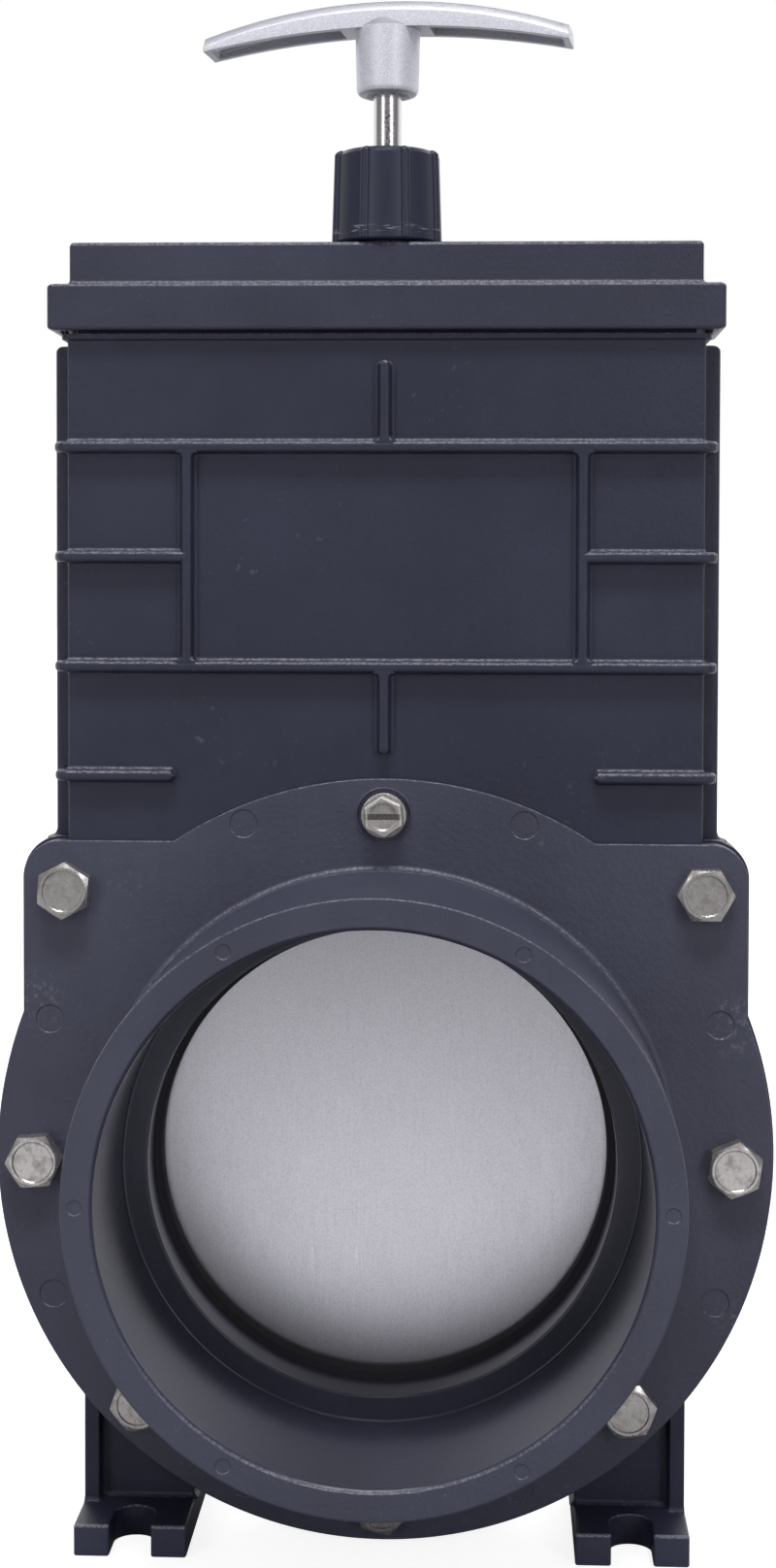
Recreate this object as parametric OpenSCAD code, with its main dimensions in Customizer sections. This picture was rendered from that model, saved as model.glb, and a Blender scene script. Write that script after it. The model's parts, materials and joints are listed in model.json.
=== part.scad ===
// Slide gate valve for 4 inch (114.3 mm) PVC pipe.
// A flat steel blade slides between two rubber seals. It is drawn up into a tall housing by a rod with
// a T-handle. Two bolted hubs carry the pipe sockets, and the body stands on two slotted feet.
// X runs across the valve, Y along the pipe and Z up. The front faces -Y. The origin lies under the
// middle of the body, on the plane that the feet stand on.

/* [Pipe sockets] */
// Outside diameter of the pipe
pipe_d = 114.3; // [75:0.1:160]
// Gap for solvent cement round the pipe
cement_gap = 0.1; // [0.05:0.05:0.5]
// Depth of the socket, from its rim to the pipe stop
socket_depth = 40; // [20:0.5:46]
// Wall of the socket
socket_wall = 6.7; // [4:0.1:12]
// Height of the pipe stop above the socket's wall
stop_step = 5.5; // [1:0.1:6]
// Chamfer at the socket's mouth
mouth_chamfer = 0.8; // [0.4:0.1:2]
// Reach of the hub beyond its flange
hub_reach = 46.5; // [46:0.5:90]
// Fillet where the hub meets its flange
hub_fillet = 1; // [0.4:0.1:3]

/* [Hub flanges] */
// Thickness of each hub's flange
flange_t = 4.5; // [3:0.1:8]
// Width of the flange beyond the hub
flange_w = 22.5; // [20:0.1:32]
// Amount by which the flange's top arc is smaller
top_trim = 2.1; // [0:0.1:4]
// Drop from the flange's top to the ears' level edge
ear_drop = 14.2; // [10:0.1:18]
// Reach of the ears beyond the housing
ear_side = 10; // [8:0.1:12]
// Corner radius of the ears
ear_r = 8.2; // [4:0.1:12]

/* [Body] */
// Thickness of the body's flanged plate
plate_t = 13; // [13:0.5:24]
// Margin of the body's plate beyond the hub flanges
plate_margin = 0.7; // [0:0.1:3]
// Depth of the housing, front to back
housing_d = 20; // [18:0.5:30]
// Wall of the housing
housing_wall = 2.6; // [2:0.1:3]
// Width of the housing beyond the blade on each side
housing_side = 13.6; // [9:0.1:20]
// Room above the raised blade for the yoke
head_room = 7.1; // [5:0.1:20]
// Width of the side fins
fin_w = 3.9; // [2:0.1:6]
// Thickness of the side fins
fin_t = 7; // [4:0.5:12]

/* [Ribs] */
// Thickness of the ribs
rib_t = 2.6; // [1.5:0.1:4]
// Height of the ribs above the housing
rib_h = 2.9; // [1:0.1:4]
// Distance between level ribs
rib_pitch = 24.3; // [18:0.1:30]
// Distance from the lid down to the top rib
rib_drop = 26; // [18:0.1:36]
// Distance from the housing's side in to the upright ribs
upright_inset = 26.8; // [15:0.1:30]

/* [Lid] */
// Overhang of the lid's lower tier
lid_lap = 4.2; // [2:0.1:6]
// Overhang of the lid's lower tier, front and back
lid_lap_y = 2.7; // [1:0.1:5]
// Height of the lid's lower tier
lid_low_h = 9.8; // [6:0.1:14]
// Height of the lid's upper tier
lid_top_h = 9.3; // [5:0.1:14]
// Step between the lid's tiers at each end
lid_step = 4.9; // [2:0.1:8]
// Step between the lid's tiers, front and back
lid_step_y = 1.5; // [0.8:0.1:2.5]
// Outside diameter of the threaded neck
neck_d = 17; // [14:0.5:20]
// Height of the threaded neck
neck_h = 14; // [10:0.5:17]

/* [Packing nut] */
// Diameter of the packing nut at its foot
nut_d = 24.5; // [22:0.1:32]
// Height of the packing nut
nut_h = 20.4; // [19:0.1:30]
// Gap between the packing nut and the lid
nut_gap = 0.6; // [0.3:0.1:3]
// Number of grip ribs round the packing nut
nut_ribs = 8; // [6:1:12]
// Radius of each grip rib
nut_rib_r = 1.2; // [0.6:0.05:1.6]

/* [Blade and seals] */
// Thickness of the blade
blade_t = 1.5; // [1:0.1:3]
// Amount by which each seal's lip stands inside the bore
seal_lip = 1.6; // [1:0.1:4]
// Width of each seal's ring
seal_w = 10.8; // [8:0.1:14]
// Width of the seal that the closed blade covers
blade_lap = 6.8; // [4:0.1:8]
// Gap between the blade and each seal
blade_gap = 0.3; // [0.1:0.05:0.6]
// Height of the blade above its own half width
blade_top = 10; // [8:0.5:16]

/* [Rod and handle] */
// Diameter of the rod
rod_d = 6.35; // [5:0.05:8]
// Radial running clearance of the rod
rod_gap = 0.05; // [0.01:0.01:0.1]
// Bare length of rod between the packing nut and the closed handle
rod_bare = 12.7; // [6:0.1:30]
// Length of the handle
handle_l = 82.5; // [60:0.5:120]
// Depth of the handle's bar, front to back
handle_d = 10.9; // [9:0.1:14]
// Rise of the bar's arched top from its ends to its middle
handle_rise = 6.8; // [4:0.1:12]
// Height of the bar at its middle
handle_mid = 6.2; // [5:0.1:10]
// Height of the bar at its ends
handle_end = 3.6; // [3:0.1:4.5]
// Chamfer along the bar's top edges
handle_chamfer = 2.2; // [1:0.1:2.6]
// Wall of the handle's hollow bar
handle_wall = 1.6; // [1.2:0.1:2.4]
// Diameter of the handle's boss
boss_d = 14.5; // [13:0.1:18]
// Height of the boss below the bar
boss_h = 14.4; // [10:0.1:24]
// Turn of the handle from the valve's own plane, in degrees
handle_turn = -7.6; // [-45:0.1:45]

/* [Bolts] */
// Diameter of the bolts
bolt_d = 6.2; // [4.5:0.1:7]
// Distance across the flats of the bolt heads and nuts
bolt_af = 11.11; // [9:0.01:12]
// Height of the bolt heads
head_h = 4; // [3:0.1:5]
// Height of the nuts
hexnut_h = 5.4; // [4:0.1:7]
// Radial clearance of the bolt holes
bolt_gap = 0.3; // [0.1:0.1:0.6]
// Distance of the bolt circle inside the flange's edge
bolt_inset = 8.6; // [7.5:0.1:10]
// Diameter of the top screws
screw_d = 4.8; // [4:0.1:6]
// Distance across the flats of the top screws' heads
screw_af = 7.94; // [7:0.01:9]
// Diameter of the top screws' washer flange
screw_washer_d = 10; // [9.5:0.1:11]
// Depth of the round recess under each top screw
screw_recess = 0.6; // [0.2:0.1:1.2]
// Distance of the top screws below the flange's top
screw_drop = 8.2; // [7.5:0.1:10]

/* [Feet] */
// Gap between the body's plate and the surface that the feet stand on
foot_clear = 0.3; // [0.1:0.1:30]
// Distance from the flange's side in to each foot's outer side
foot_inset = 18.6; // [12:0.1:24]
// Width of each foot
foot_w = 25; // [20:0.1:36]
// Reach of each foot, front to back
foot_d = 41; // [34:0.5:60]
// Thickness of each foot
foot_t = 6.9; // [4:0.1:10]
// Width of the slots in the feet
slot_w = 9.3; // [6:0.1:12]
// Depth of the slots in the feet
slot_l = 12; // [7:0.1:14]
// Thickness of each foot's outer rib
foot_rib = 3.4; // [2:0.1:6]
// Thickness of each foot's web
foot_web = 6; // [4:0.5:10]

/* [Hidden] */

// Roundness, a hair's overlap for pieces that join, and the overshoot of cuts
$fn = 96;
eps = 0.01;
over = 1;

// Hubs
socket_r = pipe_d / 2 + cement_gap;
hub_r = socket_r + socket_wall;
bore_r = socket_r - stop_step;
plate_y = plate_t / 2;
face_y = plate_y + flange_t;
rim_y = face_y + hub_reach;
stop_y = rim_y - socket_depth;
flange_r = hub_r + flange_w;
top_r = flange_r - top_trim;
ear_rise = top_r - ear_drop;
plate_r = flange_r + plate_margin;

// Height of the bore's axis. Every z in the modules below is measured up from it.
bore_h = plate_r + foot_clear;

// Seals and blade
seal_r = bore_r - seal_lip;
seal_out_r = seal_r + seal_w;
seal_gap = 0.2;
blade_r = seal_r + blade_lap;
blade_h = blade_r + blade_top;
open_margin = 0.8;
travel = seal_r + blade_r + open_margin;

// Rod and its head, which turns in the yoke's slot
rod_r = rod_d / 2;
rod_hole_r = rod_r + rod_gap;
guide_r = rod_hole_r + 0.05;
rod_head_r = rod_r + 0.9;
rod_head_h = 2.4;
head_gap = 0.2;

// Yoke on the blade's top edge
yoke_x = 10;
yoke_y = rod_head_r + 0.9;
yoke_h = 9;
yoke_sink = 4;
yoke_roof = 2;
yoke_gap = 0.4;
yoke_top = blade_h - yoke_sink + yoke_h;

// Housing
housing_x = blade_r + housing_side;
housing_y = housing_d / 2;
lid_tongue = 3.3;
housing_top = yoke_top + travel + head_room - lid_tongue;
lip_h = 1.6;
lip_w = 1.3;
tongue_t = 0.8;
tongue_x = housing_x - housing_wall + tongue_t;
tongue_y = housing_y - housing_wall + tongue_t;
fin_drop = 3.1;
ear_x = housing_x + ear_side;
plate_fit = 0.15;

// Space for the blade inside the body's plate
throat_x = blade_r + 5;
throat_y = yoke_y + yoke_gap;
throat_top = top_r + 2;

// Ribs, from the lid downward
upright_x = housing_x - upright_inset;
rib_z = [for (i = [0 : 3]) housing_top - rib_drop - i * rib_pitch];
short_rib_gap = 7;
low_rib_gap = 4.9;

// Lid
lid_x = housing_x + lid_lap;
lid_y = housing_y + lid_lap_y;
lid_top = housing_top + lid_low_h + lid_top_h;
roof_t = 3;
joint_gap = 0.1;
edge_r = 1.2;

// Packing and its nut
nut_foot = lid_top + nut_gap;
nut_top = nut_foot + nut_h;
nut_draft = 0.65;
nut_bevel = 1;
neck_top = lid_top + neck_h;
ring_r = neck_d / 2 - 2;
ring_h = 7;

// Handle
boss_foot = nut_top + rod_bare;
bar_foot = boss_foot + boss_h;
bar_top = bar_foot + handle_mid;
boss_draft = 0.3;
boss_bevel = 1.6;
recess_r = boss_d / 2 - 2.3;
recess_h = 1;
seat_gap = 0.02;
rod_end_gap = 2;
channel_x = boss_d / 2 + 2.8;

// Bolts: two in the ears and five round the bore
bolt_r = bolt_d / 2;
bolt_hole_r = bolt_r + bolt_gap;
bolt_past = 2;
circle_r = flange_r - bolt_inset;
ear_bolt = [ear_x - 9.5, ear_rise - 10.9];
bolt_places = [
    [-ear_bolt[0], ear_bolt[1]], ear_bolt, on_circle(-179), on_circle(-1), on_circle(-134.4),
    on_circle(-45.4), on_circle(-90)
];

// Top screws
screw_z = top_r - screw_drop;
screw_gap = 0.02;
washer_h = 1.2;
screw_hex_h = 3.2;
slot_cut_w = 1.4;
slot_cut_h = 1.6;
recess_margin = 0.9;

// Feet
foot_x = flange_r - foot_inset;

function on_circle(a) = [circle_r * cos(a), circle_r * sin(a)];

// An outline in X and Z made a slab from y0 to y1.
module slab(y0, y1) {
    translate([0, y1, bore_h])
        rotate([90, 0, 0])
            linear_extrude(y1 - y0)
                children();
}

// A round bar along Y, from y0 to y1.
module y_rod(r, y0, y1, x = 0, z = 0) {
    translate([x, y1, bore_h + z])
        rotate([90, 0, 0])
            cylinder(r = r, h = y1 - y0);
}

// A box that is centred in X and Y, from z0 to z1.
module block(half_x, half_y, z0, z1) {
    translate([-half_x, -half_y, bore_h + z0])
        cube([2 * half_x, 2 * half_y, z1 - z0]);
}

// The outline of a box with round corners.
module soft_outline(half_x, half_y, r) {
    square([2 * (half_x - r), 2 * half_y], center = true);
    square([2 * half_x, 2 * (half_y - r)], center = true);
    for (sx = [-1, 1], sy = [-1, 1])
        translate([sx * (half_x - r), sy * (half_y - r)])
            circle(r);
}

module soft_block(half_x, half_y, z0, z1, r) {
    translate([0, 0, bore_h + z0])
        linear_extrude(z1 - z0)
            soft_outline(half_x, half_y, r);
}

// Outline of the hub flanges and, with a margin, of the body's plate: a disc with a smaller arc above
// and two ears. The larger disc ends where its side meets the ears' sides.
module flange_outline(m = 0) {
    r = flange_r + m;
    join_z = sqrt(r * r - pow(ear_x + m, 2));
    intersection() {
        circle(r, $fn = 180);
        translate([-r - over, -r - over])
            square([2 * (r + over), r + over + join_z]);
    }
    circle(top_r + m, $fn = 180);
    for (s = [-1, 1])
        scale([s, 1])
            ear_outline(ear_x + m, ear_rise + m);
}

module ear_outline(x1, z1) {
    square([x1 - ear_r, z1]);
    square([x1, z1 - ear_r]);
    translate([x1 - ear_r, z1 - ear_r])
        circle(ear_r);
}

module bolt_holes(y0, y1) {
    for (p = bolt_places)
        y_rod(bolt_hole_r, y0, y1, p[0], p[1]);
}

// One level rib, from x0 out to the housing's side and round its corner.
module level_rib(z, x0) {
    x1 = housing_x + rib_h;
    y1 = housing_y + rib_h;
    translate([0, 0, bore_h + z - rib_t / 2])
        linear_extrude(rib_t)
            intersection() {
                translate([x0, -y1 - over])
                    square([x1, 2 * (y1 + over)]);
                soft_outline(x1, y1, rib_h / 2);
            }
}

module upright_rib(x, z0, z1) {
    translate([x, 0, 0])
        block(rib_t / 2, housing_y + rib_h, z0, z1);
}

module ribs() {
    for (s = [0, 1])
        mirror([s, 0, 0]) {
            level_rib(rib_z[0], -over);
            level_rib(rib_z[1], upright_x);
            level_rib(rib_z[2], -over);
            level_rib(rib_z[3], upright_x + rib_t);
            upright_rib(upright_x, rib_z[2], rib_z[0]);
        }
    upright_rib(0, rib_z[0], housing_top - short_rib_gap);
    upright_rib(0, rib_z[3] + low_rib_gap, rib_z[2]);
}

// The tall box with its side fins, and at its top a lip that carries the lid and a tongue inside it.
module housing() {
    block(housing_x, housing_y, 0, housing_top - eps);
    soft_block(housing_x + lip_w, housing_y + lip_w, housing_top - lip_h, housing_top, edge_r);
    block(tongue_x, tongue_y, housing_top - over, housing_top + lid_tongue);
    block(housing_x + fin_w, fin_t / 2, 0, housing_top - fin_drop);
}

// The housing and its ribs leave room for the hub flanges, which seat flat on the body's plate.
module upper_body() {
    difference() {
        union() {
            housing();
            ribs();
        }
        for (s = [-1, 1])
            slab(s > 0 ? plate_y : -housing_y - rib_h - over, s > 0 ? housing_y + rib_h + over : -plate_y)
                flange_outline(plate_fit);
    }
}

// The right foot: a slotted plate with a web and an outer rib up to the body's plate.
module foot() {
    web_h = bore_h - sqrt(pow(plate_r, 2) - pow(foot_x, 2)) - foot_t + over;
    difference() {
        union() {
            translate([foot_x - foot_w, -foot_d / 2, 0])
                cube([foot_w, foot_d, foot_t]);
            translate([foot_x - foot_w, -foot_web / 2, foot_t - eps])
                cube([foot_w, foot_web, web_h]);
            translate([foot_x - foot_rib, -plate_y, foot_t - eps])
                cube([foot_rib, plate_t, web_h]);
        }
        for (s = [0, 1])
            mirror([0, s, 0])
                foot_slot();
    }
}

// The open slot at the foot's rear end.
module foot_slot() {
    r = slot_w / 2;
    back = foot_d / 2 - slot_l + r;
    translate([foot_x - foot_w / 2, back, -over]) {
        cylinder(r = r, h = foot_t + 2 * over);
        translate([-r, 0, 0])
            cube([slot_w, foot_d / 2 + over - back, foot_t + 2 * over]);
    }
}

// Space inside the body: the round pocket for the seals and the tall cavity for the raised blade.
module body_inside() {
    y_rod(seal_out_r + seal_gap, -plate_y - over, plate_y + over);
    block(throat_x, throat_y, 0, throat_top);
    block(housing_x - housing_wall, housing_y - housing_wall, throat_top - eps,
          housing_top + lid_tongue + over);
}

module valve_body() {
    color("dimgray")
        difference() {
            union() {
                slab(-plate_y, plate_y)
                    flange_outline(plate_margin);
                upper_body();
                for (s = [0, 1])
                    mirror([s, 0, 0])
                        foot();
            }
            body_inside();
            bolt_holes(-plate_y - over, plate_y + over);
            y_rod(screw_d / 2 + screw_gap, -plate_y - over, plate_y + over, 0, screw_z);
        }
}

// The front hub. The rear one is the same hub turned about the upright axis.
module hub() {
    difference() {
        union() {
            slab(-face_y, -plate_y)
                flange_outline();
            y_rod(hub_r, -rim_y, -face_y + eps);
            root_fillet();
        }
        y_rod(socket_r, -rim_y - over, -stop_y);
        y_rod(bore_r, -stop_y - over, -plate_y + over);
        translate([0, -rim_y + mouth_chamfer, bore_h])
            rotate([90, 0, 0])
                cylinder(r1 = socket_r, r2 = socket_r + mouth_chamfer + over, h = mouth_chamfer + over);
        bolt_holes(-face_y - over, -plate_y + over);
        y_rod(screw_d / 2 + bolt_gap, -face_y - over, -plate_y + over, 0, screw_z);
        y_rod(screw_washer_d / 2 + recess_margin, -face_y - over, -face_y + screw_recess, 0, screw_z);
    }
}

module root_fillet() {
    translate([0, 0, bore_h])
        rotate([90, 0, 0])
            rotate_extrude($fn = 180)
                translate([hub_r - eps, face_y - eps])
                    difference() {
                        square(hub_fillet + eps);
                        translate([hub_fillet + eps, hub_fillet + eps])
                            circle(hub_fillet, $fn = 32);
                    }
}

module front_hub() {
    color("slategray")
        hub();
}

module rear_hub() {
    color("slategray")
        rotate([0, 0, 180])
            hub();
}

// The front seal, which the rear one mirrors by a half turn.
module seal() {
    color("black")
        difference() {
            y_rod(seal_out_r, -plate_y, -blade_t / 2 - blade_gap);
            y_rod(seal_r, -plate_y - over, over);
        }
}

module front_seal() {
    seal();
}

module rear_seal() {
    rotate([0, 0, 180])
        seal();
}

module lid() {
    low_top = housing_top + lid_low_h;
    color("dimgray")
        difference() {
            union() {
                soft_block(lid_x, lid_y, housing_top, low_top, edge_r);
                soft_block(lid_x - lid_step, lid_y - lid_step_y, low_top - eps, lid_top, edge_r);
                translate([0, 0, bore_h + lid_top - eps])
                    cylinder(d = neck_d, h = neck_h + eps);
            }
            block(tongue_x + joint_gap, tongue_y + joint_gap, housing_top - over,
                  housing_top + lid_tongue + joint_gap);
            block(housing_x - housing_wall, housing_y - housing_wall, housing_top, lid_top - roof_t);
            translate([0, 0, bore_h + lid_top - roof_t - over])
                cylinder(r = guide_r, h = neck_h + roof_t + 2 * over);
            translate([0, 0, bore_h + neck_top - ring_h])
                cylinder(r = ring_r, h = ring_h + over);
        }
}

module packing_ring() {
    color("ivory")
        translate([0, 0, bore_h + neck_top - ring_h])
            difference() {
                cylinder(r = ring_r - joint_gap, h = ring_h);
                translate([0, 0, -over])
                    cylinder(r = rod_hole_r, h = ring_h + 2 * over);
            }
}

module packing_nut() {
    foot_r = nut_d / 2;
    top_r1 = foot_r - nut_draft;
    room = neck_top + joint_gap - nut_foot;
    color("dimgray")
        translate([0, 0, bore_h + nut_foot])
            difference() {
                union() {
                    cylinder(r1 = foot_r, r2 = top_r1, h = nut_h - nut_bevel);
                    translate([0, 0, nut_h - nut_bevel])
                        cylinder(r1 = top_r1, r2 = top_r1 - nut_bevel, h = nut_bevel);
                    for (i = [0 : nut_ribs - 1])
                        rotate([0, 0, (i + 0.5) * 360 / nut_ribs])
                            translate([top_r1 - nut_rib_r / 4, 0, 0])
                                cylinder(r = nut_rib_r, h = nut_h - nut_bevel / 2, $fn = 24);
                }
                translate([0, 0, -over])
                    cylinder(r = neck_d / 2 + joint_gap, h = room + over);
                cylinder(r = guide_r, h = nut_h + over);
            }
}

module gate_blade() {
    corner = 6;
    color("silver")
        slab(-blade_t / 2, blade_t / 2) {
            circle(blade_r, $fn = 180);
            polygon([
                [-blade_r, 0], [blade_r, 0], [blade_r, blade_h - corner], [blade_r - corner, blade_h],
                [-blade_r + corner, blade_h], [-blade_r, blade_h - corner]
            ]);
        }
}

// The yoke straddles the blade's top edge. Its T-slot opens to the front and holds the rod's head.
module blade_yoke() {
    pocket = yoke_top - yoke_roof - rod_head_h - 2 * head_gap;
    head_r = rod_head_r + joint_gap;
    color("lightgray")
        difference() {
            block(yoke_x, yoke_y, blade_h - yoke_sink, yoke_top);
            block(yoke_x + over, blade_t / 2, blade_h - yoke_sink - over, blade_h);
            yoke_slot(head_r, pocket, yoke_top - yoke_roof);
            yoke_slot(guide_r, pocket, yoke_top + over);
        }
}

module yoke_slot(r, z0, z1) {
    translate([0, 0, bore_h + z0]) {
        cylinder(r = r, h = z1 - z0);
        translate([-r, -yoke_y - over, 0])
            cube([2 * r, yoke_y + over, z1 - z0]);
    }
}

module rod() {
    head_z = yoke_top - yoke_roof - rod_head_h - head_gap;
    color("silver")
        translate([0, 0, bore_h + head_z]) {
            cylinder(r = rod_head_r, h = rod_head_h);
            cylinder(r = rod_r, h = bar_foot - rod_end_gap - head_z);
        }
}

module handle() {
    color("lightsteelblue")
        rotate([0, 0, handle_turn])
            difference() {
                union() {
                    handle_bar();
                    handle_boss();
                }
                translate([0, 0, bore_h + boss_foot - over])
                    cylinder(r = recess_r, h = over + recess_h);
                translate([0, 0, bore_h + boss_foot - over])
                    cylinder(r = rod_r + seat_gap, h = boss_h - rod_end_gap + over);
            }
}

// The bar is a chamfered section swept round the arch's centre. Its underside is cut to a flatter arch,
// and a channel with closed ends runs along it on each side of the boss.
module handle_bar() {
    half = handle_l / 2;
    low = bar_foot - 2 * handle_rise;
    arch_r = (half * half + handle_rise * handle_rise) / (2 * handle_rise);
    fall = handle_rise + handle_end - handle_mid;
    under_r = (half * half + fall * fall) / (2 * fall);
    inner_y = handle_d / 2 - handle_wall;
    difference() {
        intersection() {
            translate([0, 0, bore_h + bar_top - arch_r])
                arch(arch_r);
            block(half, handle_d, low, bar_top + over);
        }
        y_rod(under_r, -handle_d, handle_d, 0, bar_foot - under_r);
        for (s = [0, 1])
            mirror([s, 0, 0])
                intersection() {
                    y_rod(arch_r - handle_chamfer, -inner_y, inner_y, 0, bar_top - arch_r);
                    translate([channel_x, -handle_d, bore_h + low])
                        cube([half - handle_wall - channel_x, 2 * handle_d, bar_top - low]);
                }
    }
}

module arch(r1) {
    y1 = handle_d / 2;
    c = handle_chamfer;
    r0 = r1 - 3 * handle_rise;
    rotate([90, 0, 0])
        rotate_extrude($fn = 360)
            polygon([[r0, -y1], [r1 - c, -y1], [r1, -y1 + c], [r1, y1 - c], [r1 - c, y1], [r0, y1]]);
}

module handle_boss() {
    r1 = boss_d / 2;
    r0 = r1 - boss_draft;
    translate([0, 0, bore_h + boss_foot]) {
        cylinder(r1 = r0 - boss_bevel, r2 = r0, h = boss_bevel);
        translate([0, 0, boss_bevel])
            cylinder(r1 = r0, r2 = r1, h = boss_h - boss_bevel + eps);
        translate([0, 0, boss_h])
            cylinder(r1 = r1, r2 = r1 - handle_chamfer, h = handle_chamfer);
    }
}

module hex_bolt(i, turn) {
    p = bolt_places[i];
    color("gainsboro") {
        y_rod(bolt_r, -face_y - eps, face_y + hexnut_h + bolt_past, p[0], p[1]);
        translate([p[0], -face_y, bore_h + p[1]])
            rotate([90, turn, 0])
                cylinder(d = bolt_af / cos(30), h = head_h, $fn = 6);
    }
}

module hex_nut(i, turn) {
    p = bolt_places[i];
    color("gainsboro")
        difference() {
            translate([p[0], face_y, bore_h + p[1]])
                rotate([-90, turn, 0])
                    cylinder(d = bolt_af / cos(30), h = hexnut_h, $fn = 6);
            y_rod(bolt_r + rod_gap, face_y - over, face_y + hexnut_h + over, p[0], p[1]);
        }
}

// The front top screw has a slotted hex head on a washer flange. It ends flush with the inside of the
// body's wall, clear of the yoke.
module top_screw() {
    seat_y = face_y - screw_recess;
    hex_y = seat_y + washer_h;
    color("gainsboro")
        difference() {
            union() {
                y_rod(screw_d / 2, -seat_y - eps, -throat_y, 0, screw_z);
                y_rod(screw_washer_d / 2, -hex_y, -seat_y, 0, screw_z);
                translate([0, -hex_y + eps, bore_h + screw_z])
                    rotate([90, 0, 0])
                        cylinder(d = screw_af / cos(30), h = screw_hex_h + eps, $fn = 6);
            }
            translate([-screw_washer_d, -hex_y - screw_hex_h - over, bore_h + screw_z - slot_cut_w / 2])
                cube([2 * screw_washer_d, over + slot_cut_h, slot_cut_w]);
        }
}

module bolt_top_left() { hex_bolt(0, 27); }
module bolt_top_right() { hex_bolt(1, 0); }
module bolt_mid_left() { hex_bolt(2, 4); }
module bolt_mid_right() { hex_bolt(3, 22); }
module bolt_low_left() { hex_bolt(4, 10); }
module bolt_low_right() { hex_bolt(5, -8); }
module bolt_bottom() { hex_bolt(6, 14); }
module nut_top_left() { hex_nut(0, 12); }
module nut_top_right() { hex_nut(1, 35); }
module nut_mid_left() { hex_nut(2, 20); }
module nut_mid_right() { hex_nut(3, 5); }
module nut_low_left() { hex_nut(4, 28); }
module nut_low_right() { hex_nut(5, 9); }
module nut_bottom() { hex_nut(6, 17); }
module front_screw() { top_screw(); }
module rear_screw() { rotate([0, 0, 180]) top_screw(); }

valve_body();
front_hub();
rear_hub();
front_seal();
rear_seal();
lid();
packing_ring();
packing_nut();
gate_blade();
blade_yoke();
rod();
handle();
bolt_top_left();
bolt_top_right();
bolt_mid_left();
bolt_mid_right();
bolt_low_left();
bolt_low_right();
bolt_bottom();
nut_top_left();
nut_top_right();
nut_mid_left();
nut_mid_right();
nut_low_left();
nut_low_right();
nut_bottom();
front_screw();
rear_screw();
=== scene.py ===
"""Looks of a slide gate valve for four-inch plastic pipe: body, hubs, lid, gate, handle, hardware."""

import json
import math

import bmesh
import bpy
from bpy.props import FloatProperty, FloatVectorProperty, IntProperty, IntVectorProperty, PointerProperty
from mathutils import Matrix, Vector

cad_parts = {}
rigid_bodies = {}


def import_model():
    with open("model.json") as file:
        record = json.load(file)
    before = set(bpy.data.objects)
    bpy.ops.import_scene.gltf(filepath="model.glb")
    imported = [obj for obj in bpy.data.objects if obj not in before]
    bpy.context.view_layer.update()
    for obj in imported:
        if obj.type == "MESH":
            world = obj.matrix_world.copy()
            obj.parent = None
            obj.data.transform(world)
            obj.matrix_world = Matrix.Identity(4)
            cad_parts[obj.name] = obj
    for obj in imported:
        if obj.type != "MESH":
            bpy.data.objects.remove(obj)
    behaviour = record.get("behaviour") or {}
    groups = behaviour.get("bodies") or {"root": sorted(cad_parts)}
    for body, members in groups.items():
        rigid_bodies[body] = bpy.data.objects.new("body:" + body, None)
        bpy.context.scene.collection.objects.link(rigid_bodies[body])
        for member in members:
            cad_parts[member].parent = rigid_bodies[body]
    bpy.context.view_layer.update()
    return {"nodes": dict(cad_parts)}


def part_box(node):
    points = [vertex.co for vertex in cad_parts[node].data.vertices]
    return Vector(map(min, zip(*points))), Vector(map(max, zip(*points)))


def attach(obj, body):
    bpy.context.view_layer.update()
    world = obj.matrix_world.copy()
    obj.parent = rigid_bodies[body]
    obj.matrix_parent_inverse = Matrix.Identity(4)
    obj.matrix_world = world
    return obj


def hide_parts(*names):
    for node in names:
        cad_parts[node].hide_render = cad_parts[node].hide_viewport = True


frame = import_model()

bl_info = {
    "name": "Slide gate valve",
    "version": (1, 0, 0),
    "blender": (4, 5, 0),
    "location": "View3D > Sidebar > Gate valve",
    "description": "Builds the moulded body, hubs, lid, gate, handle and hardware of a slide gate valve",
    "category": "Add Mesh",
}

MM = 0.001

# Places read from the frame, in metres. The bore's axis runs along Y at the height BORE_Z.
SEAL_LOW, SEAL_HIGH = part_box("front_seal")
HUB_LOW, HUB_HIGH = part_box("front_hub")
LID_LOW, LID_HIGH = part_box("lid")
NUT_LOW, NUT_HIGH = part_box("packing_nut")
BLADE_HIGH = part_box("gate_blade")[1]
ROD_LOW, ROD_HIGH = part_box("rod")
HANDLE_LOW, HANDLE_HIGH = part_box("handle")
BORE_Z = (SEAL_LOW.z + SEAL_HIGH.z) / 2
FACE_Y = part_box("nut_bottom")[0].y
BOLTS = sorted(n for n in frame["nodes"] if n.startswith("bolt_"))
NUTS = sorted(n for n in frame["nodes"] if n.startswith("nut_"))

# The two sides, with their way along Y.
SIDES = ((-1, "front"), (1, "rear"))


def size(name, text, default):
    """A length that a user may change."""
    return FloatProperty(
        name=name, description=text, default=default, precision=5, subtype="DISTANCE", unit="LENGTH"
    )


def tint(name, text, default):
    """A colour that a user may change."""
    return FloatVectorProperty(
        name=name, description=text, default=default, size=3, min=0.0, max=1.0, subtype="COLOR"
    )


def turn(name, text, degrees):
    """An angle that a user may change."""
    return FloatProperty(name=name, description=text, default=math.radians(degrees), subtype="ANGLE")


def turn_row(name, text, degrees):
    """Angles in whole degrees that a user may change, one for each piece of a row."""
    return IntVectorProperty(name=name, description=text, default=degrees, size=len(degrees))


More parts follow.
